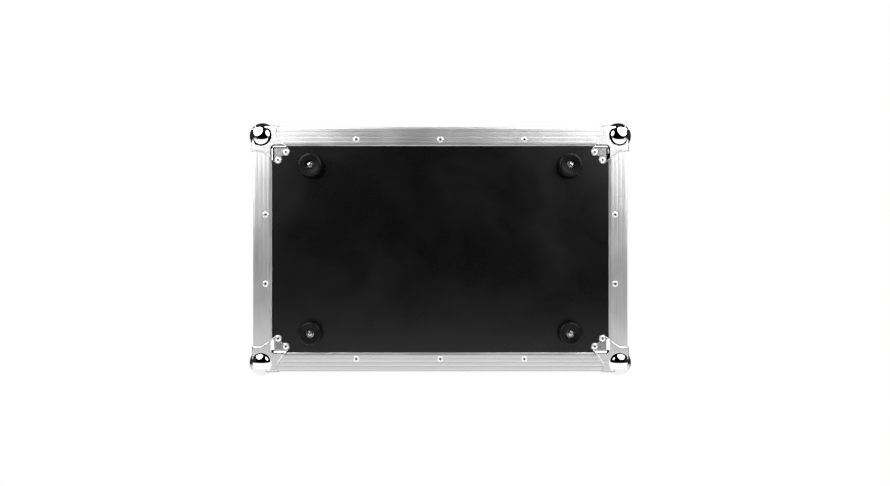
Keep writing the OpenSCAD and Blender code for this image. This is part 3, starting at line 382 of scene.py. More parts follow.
# %% Handling haze: soft cloudy marks that dull a polish
handling_haze, given, result = new_effect("handling_haze", [
    ("Vector", VECTOR, None), ("Scale", NUMBER, 30.0)], ["Haze"])
cloud = add(handling_haze, "ShaderNodeTexNoise", {
    "Vector": given["Vector"], "Scale": given["Scale"], "Detail": 6.0, "Roughness": 0.62,
    "Distortion": 0.4})
handling_haze.links.new(spread(handling_haze, cloud.outputs[0], 0.42, 0.72), result["Haze"])
print("effect:", handling_haze.name)

# %% [markdown]
# ## Finishes
# Each of the record's slots gets a material, or several where the lines on a surface run
# differently. The numbers that are the same all over a surface sit on the shader's own
# sockets. What varies comes from the effects above, all on Object coordinates, so that the
# pattern keeps its true size on every piece.

# %% Helpers: where a pattern is looked up, and what it drives
def surface_place(tree):
    return add(tree, "ShaderNodeTexCoord").outputs["Object"]


def drive(tree, shader, colour, roughness, height, depth_mm, strength):
    """Feeds a finish: its colour, its roughness and a bump of the given depth."""
    bump = add(tree, "ShaderNodeBump", {
        "Height": height, "Distance": depth_mm * MM, "Strength": strength})
    for source, socket in ((colour, "Base Color"), (roughness, "Roughness"),
                           (bump.outputs[0], "Normal")):
        tree.links.new(source, shader.inputs[socket])


# %% Black laminate: grained resin film on the boards
black_laminate, tree, shader = new_finish("black_laminate", grey(0.002), 0.4)
where = surface_place(tree)
grain = use_effect(tree, fine_grain, {"Vector": where, "Scale": 700.0})
haze = use_effect(tree, handling_haze, {"Vector": where, "Scale": 9.0})
dulled = maths(tree, "ADD", spread(tree, grain["Height"], 0.0, 0.6, 0.35, 0.29),
               spread(tree, haze["Haze"], 0.0, 1.0, -0.04, 0.05))
drive(tree, shader, blend_colours(tree, grain["Height"], grey(0.0006), grey(0.0016)), dulled,
      grain["Height"], depth_mm=0.1, strength=0.5)
shader.inputs["Specular IOR Level"].default_value = 0.42
print("finish:", black_laminate.name)

# %% [markdown]
# Drawn aluminium has fine lines along its length. So there is one finish for rails along x,
# one for y and one for z. The rim at the parting plane runs round the case as one solid, and
# there the lines turn the corner with it.

# %% Drawn aluminium, with its lines along x, y or z, or round the rim
CASE = Vector((596, 389, 245)) * MM


def along_the_rim(tree, where):
    """Swaps x and y on a rim's end bars, so that lines along x turn the corner with it."""
    x, y, z = add(tree, "ShaderNodeSeparateXYZ", {0: where}).outputs
    further = maths(tree, "SUBTRACT", maths(tree, "ABSOLUTE", x), maths(tree, "ABSOLUTE", y))
    on_end_bar = maths(tree, "GREATER_THAN", further, (CASE.x - CASE.y) / 2)
    swapped = add(tree, "ShaderNodeCombineXYZ", {0: y, 1: x, 2: z}).outputs[0]
    return add(tree, "ShaderNodeMix", {0: on_end_bar, 4: where, 5: swapped},
               data_type="VECTOR").outputs[1]


def drawn_aluminium(name, stretch, rim=False):
    finish, tree, shader = new_finish(name, grey(0.83), 0.33, 1.0)
    where = surface_place(tree)
    if rim:
        where = along_the_rim(tree, where)
    lines = use_effect(tree, drawn_lines, {"Vector": where, "Stretch": stretch})
    haze = use_effect(tree, handling_haze, {"Vector": where, "Scale": 14.0})
    tone = maths(tree, "ADD", maths(tree, "MULTIPLY", lines["Bands"], 0.7),
                 maths(tree, "MULTIPLY", lines["Lines"], 0.3))
    dulled = maths(tree, "ADD", spread(tree, lines["Lines"], 0.0, 1.0, 0.33, 0.41),
                   maths(tree, "MULTIPLY", haze["Haze"], 0.06))
    drive(tree, shader, blend_colours(tree, tone, grey(0.68), grey(0.80)), dulled,
          lines["Lines"], depth_mm=0.03, strength=0.6)
    print("finish:", name)
    return finish


aluminium_x = drawn_aluminium("rail_aluminium_x", (0.01, 1.0, 1.0))
aluminium_y = drawn_aluminium("rail_aluminium_y", (1.0, 0.01, 1.0))
aluminium_z = drawn_aluminium("rail_aluminium_z", (1.0, 1.0, 0.01))
aluminium_rim = drawn_aluminium("rim_aluminium", (0.01, 1.0, 1.0), rim=True)

# %% Pressed chrome: bright on the ball, satin on the flaps, rougher and painted dark as shade where struck down
pressed_chrome, tree, shader = new_finish("pressed_chrome", grey(0.86), 0.2, 1.0)
where = surface_place(tree)
scratches = use_effect(tree, hair_scratches, {"Vector": where, "Scale": 60.0})
haze = use_effect(tree, handling_haze, {"Vector": where, "Scale": 300.0})
polish = add(tree, "ShaderNodeAttribute", attribute_name="polish").outputs["Fac"]
struck_and_shaded = add(tree, "ShaderNodeAttribute", attribute_name="struck_and_shaded").outputs["Fac"]
# The flap struck down onto the board is painted dark grey, as painted shade; the haze mottles
# it toward mid grey.
painted_shade_flap_tone = blend_colours(tree, struck_and_shaded, grey(0.73), grey(0.24))
mottled_with_painted_shade = blend_colours(tree, maths(tree, "MULTIPLY", haze["Haze"], struck_and_shaded), painted_shade_flap_tone,
                        grey(0.5))
satin = maths(tree, "ADD", spread(tree, haze["Haze"], 0.0, 1.0, 0.34, 0.42),
              maths(tree, "MULTIPLY", struck_and_shaded, 0.12))
bright = maths(tree, "ADD", 0.03, maths(tree, "MULTIPLY", scratches["Scratches"], 0.1))
dents = maths(tree, "MULTIPLY", haze["Haze"],
              maths(tree, "SUBTRACT", 1.0, maths(tree, "MULTIPLY", polish, 0.97)))
drive(tree, shader, blend_colours(tree, polish, mottled_with_painted_shade, grey(0.88)),
      mix_numbers(tree, polish, satin, bright), dents, depth_mm=0.15, strength=0.5)
print("finish:", pressed_chrome.name)

# %% [markdown]
# The smaller hardware is plated or plain metal. All of it is toned and dulled by handling, and
# the wider sheet pieces have hair scratches as well. The haze's scale follows the size of the
# piece, so that even a rivet's head isn't quite even.

# %% Plated and plain metals
def handled_metal(name, plain, haze_scale, tones, dullness, bump, scratch=None, metallic=1.0):
    """Metal whose tone and roughness follow a haze, over a plain colour and roughness.

    A bump is its depth in mm and its strength, a scratch the scratches' scale and weight.
    """
    finish, tree, shader = new_finish(name, *plain, metallic)
    where = surface_place(tree)
    haze = use_effect(tree, handling_haze, {"Vector": where, "Scale": haze_scale})["Haze"]
    dulled = spread(tree, haze, 0.0, 1.0, *dullness)
    if scratch:
        lines = use_effect(tree, hair_scratches, {"Vector": where, "Scale": scratch[0]})
        dulled = maths(tree, "ADD", dulled,
                       maths(tree, "MULTIPLY", lines["Scratches"], scratch[1]))
    drive(tree, shader, blend_colours(tree, haze, *tones), dulled, haze, *bump)
    print("finish:", name)
    return finish


satin_chrome = handled_metal(
    "satin_chrome", (grey(0.84), 0.3), haze_scale=120.0, tones=(grey(0.86), grey(0.74)),
    dullness=(0.24, 0.34), bump=(0.08, 0.4), scratch=(70.0, 0.12))
zinc_steel = handled_metal(
    "zinc_steel", (grey(0.68), 0.28), haze_scale=60.0,
    tones=((0.70, 0.71, 0.72, 1), (0.63, 0.64, 0.66, 1)), dullness=(0.24, 0.31),
    bump=(0.03, 0.3), scratch=(90.0, 0.15))
plain_steel = handled_metal(
    "plain_steel", (grey(0.58), 0.3), haze_scale=160.0, tones=(grey(0.64), grey(0.50)),
    dullness=(0.22, 0.38), bump=(0.02, 0.3))
rivet_aluminium = handled_metal(
    "rivet_aluminium", (grey(0.9), 0.38), haze_scale=220.0, tones=(grey(0.93), grey(0.86)),
    dullness=(0.32, 0.44), bump=(0.02, 0.3), metallic=0.75)
# The mandrel stub is painted near black: a broken mandrel does sit in the hole, and its dark
# colour is painted shade.
mandrel_with_hole_shade = handled_metal(
    "mandrel_with_hole_shade", (grey(0.06), 0.6), haze_scale=500.0, tones=(grey(0.08), grey(0.03)),
    dullness=(0.5, 0.7), bump=(0.1, 0.5), metallic=0.6)

# %% Black rubber of the feet and the grip
black_rubber, tree, shader = new_finish("black_rubber", grey(0.018), 0.55)
where = surface_place(tree)
grain = use_effect(tree, fine_grain, {"Vector": where, "Scale": 1400.0})
haze = use_effect(tree, handling_haze, {"Vector": where, "Scale": 40.0})["Haze"]
drive(tree, shader, blend_colours(tree, haze, grey(0.002), grey(0.004)),
      spread(tree, haze, 0.0, 1.0, 0.38, 0.5), grain["Height"], depth_mm=0.06,
      strength=0.6)
shader.inputs["Specular IOR Level"].default_value = 0.16
print("finish:", black_rubber.name)

# %% Dark foam of the lining: open cells and soft patches
dark_foam, tree, shader = new_finish("dark_foam", grey(0.045), 0.95)
where = surface_place(tree)
grain = use_effect(tree, fine_grain, {"Vector": where, "Scale": 450.0})
cells = maths(tree, "MULTIPLY", grain["Height"],
              spread(tree, grain["Patches"], 0, 1, 0.7, 1.0))
drive(tree, shader, blend_colours(tree, cells, grey(0.02), grey(0.07)),
      spread(tree, grain["Patches"], 0, 1, 0.9, 1.0), grain["Height"], depth_mm=0.6,
      strength=0.8)
shader.inputs["Sheen Weight"].default_value = 0.15
print("finish:", dark_foam.name)

# %% [markdown]
# ## Which solid gets which finish
# The record lists a material slot for every node. A solid's finish is put into the slots of
# its own object, and the mesh stays as it is.

# %% Dress the solids
LATCHES = ["latch_dish", "keeper_dish", "latch_spindle", "latch_wing", "latch_draw",
           "latch_hook"]
CORNERS = [f"{half}_ball_{end}_{side}" for half in ("bottom", "lid")
           for end in ("front", "back") for side in ("left", "right")]
PANELS = ["bottom_panel", "lid_top_panel"] + [
    f"{half}_{face}_panel" for half in ("base", "lid")
    for face in ("front", "back", "left", "right")]
FOAMS = {"base_foam_floor": "base_floor_pad", "base_foam_front": "base_front_pad",
         "base_foam_sides": "base_side_pads", "lid_foam_top": "lid_top_pad",
         "lid_foam_sides": "lid_side_pads"}
finish_of = {name: black_laminate for name in PANELS}
finish_of.update({name: pressed_chrome for name in CORNERS})
for half in ("bottom", "lid"):
    for face in ("front", "back"):
        finish_of[f"{half}_{face}_rail"] = aluminium_x
    for face in ("left", "right"):
        finish_of[f"{half}_{face}_rail"] = aluminium_y
for half in ("base", "lid"):
    finish_of[f"{half}_corner_posts"] = aluminium_z
    finish_of[f"{half}_closure"] = aluminium_rim
    finish_of[f"{half}_rim_braces"] = satin_chrome
    finish_of[f"{half}_rivets"] = rivet_aluminium
    finish_of[f"hinge_{half}_leaves"] = satin_chrome
for name in LATCHES:
    for side in ("left", "right"):
        finish_of[f"{name}_{side}"] = zinc_steel
finish_of.update({name: dark_foam for name in FOAMS})
finish_of.update({
    "rubber_feet": black_rubber, "handle_grip": black_rubber, "foot_screws": plain_steel,
    "handle_dish": zinc_steel, "handle_bail": zinc_steel, "handle_spring": plain_steel,
    "hinge_pins": plain_steel})
for name, solid in frame["nodes"].items():
    for slot in solid.material_slots:
        slot.material = finish_of[name]
print(len(finish_of), "solids dressed")

# %% [markdown]
# ## Modelled pieces
# Every modelled piece starts as a bmesh. Faces are shaded smooth, and edges that bend sharply
# are marked, so that a fold keeps its crisp line while a round stays round. The piece then
# rides on the body of the solid that it stands for, gets its finish, and the solid is hidden.

# %% Helpers for modelled pieces
WELD, FINE_WELD = 0.01 * MM, 0.001 * MM


def merged_copy(node):
    shape = bmesh.new()
    shape.from_mesh(frame["nodes"][node].data)
    bmesh.ops.remove_doubles(shape, verts=shape.verts, dist=WELD)
    return shape


def add_copy(whole, mesh, place):
    """Adds a mesh to a bmesh, moved by a matrix."""
    before = len(whole.verts)
    whole.from_mesh(mesh)
    whole.verts.ensure_lookup_table()
    bmesh.ops.transform(whole, matrix=place, verts=whole.verts[before:])


def shade(shape, crease_degrees=32):
    limit = math.radians(crease_degrees)
    for face in shape.faces:
        face.smooth = True
    for edge in shape.edges:
        edge.smooth = edge.is_manifold and edge.calc_face_angle() < limit


def make_piece(name, shape, finishes, nodes):
    mesh = as_mesh(name, shape)
    for finish in finishes:
        mesh.materials.append(finish)
    piece = put_in_scene(name, mesh)
    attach(piece, frame["nodes"][nodes[0]]["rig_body"])
    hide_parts(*nodes)
    print(name, "has", len(mesh.polygons), "faces")
    return piece


# %% [markdown]
# ## Edge rails
# An edge rail is an extrusion: one section, pushed through a die and cut to a mitre. So it is
# modelled the same way. The section's outline is laid out once, with slightly crowned bands
# between its grooves, extruded along the edge and cut by two planes at each end. The solid
# has the grooves, but flat bands. The crown is what spreads the light into soft stripes.

# %% Outline of the rail's section, in the corner's own two depths
BASE_FLOOR, LID_ROOF = UNDERSIDE_Z, UNDERSIDE_Z + CASE.z
RAIL_LEG, RAIL_T, BOARD_BACK = 30.0, 1.5, 8.5
INNER_LEG, INNER_BACK = 20.0, 9.7
BAND_EDGES = [2.0, 8.7, 15.7, 22.0, 26.0]
CROWN, GROOVE, HALF_GROOVE = 0.03, 0.08, 0.3
OUTER_CORNER = (0.6, 0.6)


def leg_outline():
    """Outer face of one leg, as (distance from the corner, depth) in mm."""
    points = []
    for start, end in zip(BAND_EDGES, BAND_EDGES[1:]):
        middle = (start + end) / 2
        half = (end - start) / 2 - HALF_GROOVE
        for share in (-1, -0.6, -0.2, 0.2, 0.6, 1):
            points.append((middle + share * half, CROWN * share * share))
        points.append((end, GROOVE if end < BAND_EDGES[-1] else CROWN))
    return points + [(RAIL_LEG - 0.3, 0.9), (RAIL_LEG, 1.1), (RAIL_LEG, RAIL_T)]


def rail_outline():
    """The whole section: one side from the corner inwards, then the same side mirrored."""
    one_side = leg_outline() + [(2.35, RAIL_T), (9.35, BOARD_BACK), (INNER_LEG, BOARD_BACK),
                                (INNER_LEG, INNER_BACK)]
    other_side = [(depth, far) for far, depth in reversed(one_side)]
    return [OUTER_CORNER] + one_side + [(INNER_BACK, INNER_BACK)] + other_side


def extruded_rail(length):
    """A rail along x, with y and z its two depths from the edge, centred on x = 0."""
    shape = bmesh.new()
    ring = [shape.verts.new((-length / 2, y * MM, z * MM)) for y, z in rail_outline()]
    start = shape.faces.new(ring)
    moved = bmesh.ops.extrude_face_region(shape, geom=[start], use_keep_orig=True)
    tip = [v for v in moved["geom"] if isinstance(v, bmesh.types.BMVert)]
    bmesh.ops.translate(shape, verts=tip, vec=(length, 0, 0))
    bmesh.ops.recalc_face_normals(shape, faces=shape.faces)
    return shape


def cut_off(shape, point, normal):
    """Cuts away what lies beyond a plane and closes the cut."""
    cut = bmesh.ops.bisect_plane(
        shape, geom=shape.verts[:] + shape.edges[:] + shape.faces[:], plane_co=point,
        plane_no=normal, clear_outer=True, dist=FINE_WELD)
    edges = [e for e in cut["geom_cut"] if isinstance(e, bmesh.types.BMEdge)]
    bmesh.ops.edgenet_fill(shape, edges=edges)


print("rail outline has", len(rail_outline()), "points")

# %% Mitred rails round the bottom and the lid
CUTBACK, MITRE_GAP = 16 * MM, 0.1 * MM


def place_rail(face, top):
    """The rail of one face, mitred and moved to its edge of the case."""
    lengthwise = face in ("front", "back")
    length = CASE.x if lengthwise else CASE.y
    shape = extruded_rail(length)
    for side in (-1, 1):
        cut_off(shape, (side * (length / 2 - CUTBACK), 0, 0), (side, 0, 0))
        cut_off(shape, (side * (length / 2 - MITRE_GAP), 0, 0), (side, 1, 0))
    depth = (CASE.y if lengthwise else CASE.x) / 2
    moved = Matrix.Translation((0, -depth, 0))
    if top:
        moved = Matrix.Scale(-1, 4, (0, 0, 1)) @ moved
    turn = {"front": 0, "right": 90, "back": 180, "left": 270}[face]
    lift = Matrix.Translation((0, 0, LID_ROOF if top else BASE_FLOOR))
    bmesh.ops.transform(shape, matrix=lift @ Matrix.Rotation(math.radians(turn), 4, "Z")
                        @ moved, verts=shape.verts)
    bmesh.ops.recalc_face_normals(shape, faces=shape.faces)
    shade(shape)
    half = "lid" if top else "bottom"
    finish = aluminium_x if lengthwise else aluminium_y
    make_piece(f"{half}_{face}_edging", shape, [finish], [f"{half}_{face}_rail"])


for face in ("front", "back", "left", "right"):
    place_rail(face, False)
    place_rail(face, True)

# %% Upright rails at the corners
def place_posts(half):
    """Four upright lengths of the same section, between the end rails and the closure."""
    low, high = (corner.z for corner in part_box(f"{half}_corner_posts"))
    upright = Matrix(((0, 0, 1, 0), (0, 1, 0, 0), (1, 0, 0, 0), (0, 0, 0, 1)))
    place = Matrix.Translation((-CASE.x / 2, -CASE.y / 2, (low + high) / 2)) @ upright
    whole = bmesh.new()
    for x_sign in (1, -1):
        for y_sign in (1, -1):
            post = extruded_rail(high - low)
            flip = Matrix.Diagonal((x_sign, y_sign, 1, 1))
            bmesh.ops.transform(post, matrix=flip @ place, verts=post.verts)
            bmesh.ops.recalc_face_normals(post, faces=post.faces)
            kept = as_mesh("post", post)
            whole.from_mesh(kept)
            bpy.data.meshes.remove(kept)
    shade(whole)
    make_piece(f"{half}_corner_edging", whole, [aluminium_z], [f"{half}_corner_posts"])


place_posts("base")
place_posts("lid")

# %% [markdown]
# ## Ball corners
# A ball corner is pressed from one sheet of steel: the ball is stretched out of it, the flaps
# step down to the boards, and every bend has a soft radius, because sheet doesn't fold
# sharply. The solid has the true shape with sharp bends. A voxel remesh turns it into an even
# skin, smoothing rounds the bends, and the ball and the flat faces are then put back exactly,
# so that they mirror cleanly. One corner is made so and mirrored to the other seven.
# Where the sheet was drawn over the tool it shines: on the ball, its fillet and the step. The
# flats between are satin, and the flap that was struck down onto the board is rougher still
# and painted dark, as painted shade. Two numbers on every point carry that, because no pattern
# on plain coordinates could tell the ball from the flap beside it.

# %% Soft bends on one corner
BALL_RADIUS, BALL_INSET, SHEET = 20.8 * MM, 13.4 * MM, 2.0 * MM
CORNER_ORIGIN = Vector((-CASE.x / 2, -CASE.y / 2, BASE_FLOOR))
BALL_CENTRE = CORNER_ORIGIN + Vector((BALL_INSET,) * 3)
VOXEL, SMOOTHINGS = 0.8 * MM, 9
BALL_REACH, FLAT_REACH = 0.12 * MM, 0.1 * MM


def evaluated(holder, *others):
    """The shape that an object's modifiers make. The objects are taken away after that."""
    graph = bpy.context.evaluated_depsgraph_get()
    result = bmesh.new()
    result.from_mesh(holder.evaluated_get(graph).to_mesh())
    for used in (holder, *others):
        mesh = used.data
        bpy.data.objects.remove(used)
        bpy.data.meshes.remove(mesh)
    return result


def remeshed(shape):
    """An even skin of quads over a closed shape."""
    holder = put_in_scene("to_remesh", as_mesh("to_remesh", shape))
    skin = holder.modifiers.new("skin", "REMESH")
    skin.mode, skin.voxel_size = "VOXEL", VOXEL
    return evaluated(holder)


def flatten_skin(shape):
    """Puts the ball and the three flat outer faces back where the sheet was pressed to."""
    for vert in shape.verts:
        out = vert.co - BALL_CENTRE
        depths = vert.co - CORNER_ORIGIN
        if abs(out.length - BALL_RADIUS) < BALL_REACH:
            vert.co = BALL_CENTRE + out.normalized() * BALL_RADIUS
        for axis in range(3):
            for level in (-SHEET, RAIL_T * MM - SHEET):
                if abs(depths[axis] - level) < FLAT_REACH:
                    vert.co[axis] = CORNER_ORIGIN[axis] + level


corner = remeshed(merged_copy("bottom_ball_front_left"))
for _ in range(SMOOTHINGS):
    bmesh.ops.smooth_vert(corner, verts=corner.verts, factor=0.5, use_axis_x=True,
                          use_axis_y=True, use_axis_z=True)
flatten_skin(corner)
print("one corner has", len(corner.faces), "faces")

# %% [markdown]
# The photograph shows two things that the sharp solid lacks. A hollow fillet leads from each
# flat face up to the ball, and the step down to the board is S-shaped: flat, steep in the
# middle, flat again. Both follow from a height that only depends on where a point lies on its
# face, so the points of the outer skin are simply moved to that height. The shares of polish
# and of striking down, which also carries the flap's painted shade, are written to the same
# points.

# %% Fillet round the ball and S-shaped step
FILLET = 7 * MM
PLANE_DROP = BALL_INSET + SHEET
FILLET_REACH = math.sqrt((BALL_RADIUS + FILLET) ** 2 - (PLANE_DROP + FILLET) ** 2)
FILLET_START = FILLET_REACH * BALL_RADIUS / (BALL_RADIUS + FILLET)
STEP_FROM, STEP_TO, BOARD_SIDE = 29.4 * MM, 32.9 * MM, 34.5 * MM
BENT_EDGE, NEAR_STEP = 1.6 * MM, 26 * MM
BALL_SHINE_END, STEP_SHINE_START = (16.2 * MM, 17.2 * MM), (28.0 * MM, 28.8 * MM)
STRUCK_AND_SHADED_START = (34.0 * MM, 34.45 * MM)


def smooth_share(value, start, end):
    share = min(max((value - start) / (end - start), 0), 1)
    return share * share * (3 - 2 * share)


def place_on_face(depths, axis):
    """Distance from the ball's axis, and depth behind the edges with a round inner corner."""
    across, along = (depths[i] for i in range(3) if i != axis)
    off_axis = math.hypot(across - BALL_INSET, along - BALL_INSET)
    inner = math.hypot(max(0, BOARD_SIDE - across), max(0, BOARD_SIDE - along))
    return off_axis, BOARD_SIDE - inner


corner.normal_update()
polish_layer = corner.verts.layers.float.new("polish")
struck_and_shaded_layer = corner.verts.layers.float.new("struck_and_shaded")
count = 0
for vert in corner.verts:
    depths = vert.co - CORNER_ORIGIN
    from_ball = (vert.co - BALL_CENTRE).length - BALL_RADIUS
    vert[polish_layer] = 1 - smooth_share(from_ball, 0.1 * MM, 0.6 * MM)
    for axis in range(3):
        if vert.normal[axis] > -0.5 or depths[axis] > 0:
            continue
        off_axis, inward = place_on_face(depths, axis)
        if min(depths[i] for i in range(3) if i != axis) < BENT_EDGE:
            continue
        if FILLET_START < off_axis < FILLET_REACH:
            rise = FILLET - math.sqrt(FILLET ** 2 - (FILLET_REACH - off_axis) ** 2)
            vert.co[axis] = CORNER_ORIGIN[axis] - SHEET - rise
            count += 1
        elif inward > NEAR_STEP:
            drop = RAIL_T * MM * smooth_share(inward, STEP_FROM, STEP_TO)
            vert.co[axis] = CORNER_ORIGIN[axis] - SHEET + drop
            count += 1
        # The struck share marks the flap on the board, which the chrome paints dark as painted
        # shade.
        struck_and_shaded_share = smooth_share(inward, *STRUCK_AND_SHADED_START)
        vert[polish_layer] = max(1 - smooth_share(off_axis, *BALL_SHINE_END),
                                 smooth_share(inward, *STEP_SHINE_START) - struck_and_shaded_share)
        vert[struck_and_shaded_layer] = struck_and_shaded_share
print(count, "points moved,", len(corner.verts), "in all")

shade(corner, crease_degrees=60)
corner_mesh = as_mesh("pressed_corner", corner)

# %% The eight corners
for name in CORNERS:
    flip = Matrix.Diagonal((-1 if "right" in name else 1, -1 if "back" in name else 1, 1, 1))
    if name.startswith("lid"):
        flip = (Matrix.Translation((0, 0, BASE_FLOOR + LID_ROOF))
                @ Matrix.Scale(-1, 4, (0, 0, 1)) @ flip)
    shape = bmesh.new()
    add_copy(shape, corner_mesh, flip)
    if flip.determinant() < 0:
        bmesh.ops.reverse_faces(shape, faces=shape.faces)
    make_piece(name.replace("ball", "pressed_corner"), shape, [pressed_chrome], [name])
bpy.data.meshes.remove(corner_mesh)

# %% [markdown]
# ## Rivets
# A blind rivet's head is a low dome with the hole of its mandrel in the middle, and the
# broken mandrel inside it is painted near black, as painted shade down the hole. One head is
# turned by spinning half its outline, with few faces, because there are 160. The places are
# read from the solids of the rivets, so that a head always sits where its rivet is.

# %% One rivet head, turned about z
HEAD_OUTLINE = [(4.75, 0.0), (4.74, 0.45), (4.4, 0.85), (3.4, 1.14), (2.3, 1.28),
                (1.75, 1.2), (1.6, 0.3), (0.9, 0.42), (0.0, 0.5)]
HOLE_RADIUS, HOLE_LOW, HOLE_HIGH = 1.72 * MM, 0.1 * MM, 1.0 * MM


def turned(outline, steps):
    """A closed solid spun from half its outline, given as (radius, height) in mm."""
    shape = bmesh.new()
    points = [shape.verts.new((r * MM, 0, h * MM)) for r, h in outline]
    for one, two in zip(points, points[1:]):
        shape.edges.new((one, two))
    bmesh.ops.spin(shape, geom=shape.verts[:] + shape.edges[:], cent=(0, 0, 0),
                   axis=(0, 0, 1), angle=math.tau, steps=steps, use_merge=True)
    bmesh.ops.remove_doubles(shape, verts=shape.verts, dist=FINE_WELD)
    bmesh.ops.holes_fill(shape, edges=shape.edges[:], sides=0)
    bmesh.ops.recalc_face_normals(shape, faces=shape.faces)
    return shape


rivet_head = turned(HEAD_OUTLINE, steps=18)
# Faces at the hole's floor take the second slot, the mandrel painted near black as shade.
for face in rivet_head.faces:
    centre = face.calc_center_median()
    face.material_index = int(centre.xy.length < HOLE_RADIUS
                              and HOLE_LOW < centre.z < HOLE_HIGH)
shade(rivet_head, crease_degrees=50)
rivet_mesh = as_mesh("rivet_head", rivet_head)
print("a rivet head has", len(rivet_mesh.polygons), "faces")

# %% A head on every rivet
def islands(shape):
    """The separate bodies of a mesh, each as a list of its points."""
    left = set(shape.verts)
    while left:
        found, waiting = set(), [left.pop()]
        while waiting:
            vert = waiting.pop()
            found.add(vert)
            for link in vert.link_edges:
                other = link.other_vert(vert)
                if other in left:
                    left.discard(other)
                    waiting.append(other)
        yield [v.co.copy() for v in found]


def seat_of(points):
    """Middle of a rivet's seat and the direction in which its head stands out."""
    low = Vector(min(p[i] for p in points) for i in range(3))
    high = Vector(max(p[i] for p in points) for i in range(3))
    size = high - low
    axis = min(range(3), key=lambda i: size[i])
    middle = (low + high) / 2
    wide = {}
    for level in (low[axis], high[axis]):
        ring = [p for p in points if abs(p[axis] - level) < 0.05 * MM]
        wide[level] = max((p - middle).length for p in ring)
    seat = max(wide, key=wide.get)
    out = Vector((0, 0, 0))
    out[axis] = 1 if seat == low[axis] else -1
    middle[axis] = seat
    return middle, out


for half in ("base", "lid"):
    solids = merged_copy(f"{half}_rivets")
    heads = bmesh.new()
    seats = [seat_of(points) for points in islands(solids)]
    solids.free()
    for middle, out in seats:
        upright = out.to_track_quat("Z", "Y").to_matrix().to_4x4()
        add_copy(heads, rivet_mesh, Matrix.Translation(middle) @ upright)
    make_piece(f"{half}_rivet_heads", heads, [rivet_aluminium, mandrel_with_hole_shade],
               [f"{half}_rivets"])
    print(half, "has", len(seats), "rivets")
bpy.data.meshes.remove(rivet_mesh)

# %% [markdown]
# ## Feet and their screws
# A rubber foot is a turned form: a tapered wall, a rounded rim that catches the light, a face
# that is dished a little, and a well for the screw. The screw's pan head has a cross recess
# for the driver, cut by a Boolean modifier with two crossed, tapered blades.

# %% Rubber feet
FOOT_RADIUS = 19.0
FOOT_OUTLINE = [(2.55, 15.0), (18.7, 15.0), (FOOT_RADIUS, 14.6), (18.45, 4.2), (18.05, 2.3),
                (17.3, 1.0), (16.2, 0.25), (15.2, 0.0), (14.2, 0.12), (13.2, 0.45), (8.2, 0.6),
                (7.6, 0.75), (7.3, 1.3), (7.2, 7.0), (2.55, 7.0), (2.55, 15.0)]


def on_the_feet(shape):
    """Four copies of a shape, one at each foot."""
    mesh = as_mesh("one", shape)
    low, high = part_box("rubber_feet")
    inset = FOOT_RADIUS * MM
    whole = bmesh.new()
    for x in (low.x + inset, high.x - inset):
        for y in (low.y + inset, high.y - inset):
            add_copy(whole, mesh, Matrix.Translation((x, y, 0)))
    bpy.data.meshes.remove(mesh)
    return whole


foot = turned(FOOT_OUTLINE, steps=48)
shade(foot, crease_degrees=40)
make_piece("rubber_foot_set", on_the_feet(foot), [black_rubber], ["rubber_feet"])

# %% Pan-head screws with a cross recess
SCREW_OUTLINE = [(2.45, 20.5), (2.45, 7.0), (6.0, 7.0), (6.1, 6.85), (6.0, 6.1), (5.0, 6.0),
                 (5.0, 5.5), (4.7, 4.75), (3.9, 4.05), (2.6, 3.6), (1.2, 3.5), (0.0, 3.5)]
BLADE, BLADE_TAPER = Vector((5.4, 1.25, 4.0)) * MM, (0.45, 0.7, 1)
BLADE_HEIGHT, FIRST_TURN = 3.7 * MM, 20


def with_recess(shape):
    """Cuts the driver's cross into the head."""
    blade = bmesh.new()
    for turn in (FIRST_TURN, FIRST_TURN + 90):
        before = len(blade.verts)
        bmesh.ops.create_cube(blade, size=1)
        blade.verts.ensure_lookup_table()
        fresh = blade.verts[before:]
        bmesh.ops.scale(blade, vec=BLADE, verts=fresh)
        tips = [v for v in fresh if v.co.z > 0]
        bmesh.ops.scale(blade, vec=BLADE_TAPER, verts=tips)
        bmesh.ops.rotate(blade, matrix=Matrix.Rotation(math.radians(turn), 3, "Z"),
                         verts=fresh)
        bmesh.ops.translate(blade, vec=(0, 0, BLADE_HEIGHT), verts=fresh)
    blank = put_in_scene("screw_blank", as_mesh("screw_blank", shape))
    cross = put_in_scene("driver_cross", as_mesh("driver_cross", blade))
    cut = blank.modifiers.new("recess", "BOOLEAN")
    cut.object, cut.operation, cut.solver = cross, "DIFFERENCE", "EXACT"
    cut.use_self = True
    return evaluated(blank, cross)


screw = with_recess(turned(SCREW_OUTLINE, steps=36))
shade(screw, crease_degrees=30)
make_piece("foot_screw_set", on_the_feet(screw), [plain_steel], ["foot_screws"])

# %% [markdown]
# ## Foam lining
# Foam boards are sawn from a block, so they are flat, but a sawn edge crumbles to a soft
# round and no face is quite even. Each pad starts from its solid, gets rounded edges by a
# bevel, is cut into strips to have points to move, and is then drawn in by about a quarter of
# a millimetre, by more or less as a smooth noise goes.

# %% Foam pads
NEARLY_FLAT, SAWN_EDGE = math.radians(1), 1.0
EDGE_ROUND, STRIP = 2.2 * MM, 14 * MM
DRAWN_IN, UNEVEN, WAVES = 0.25 * MM, 0.2 * MM, 22


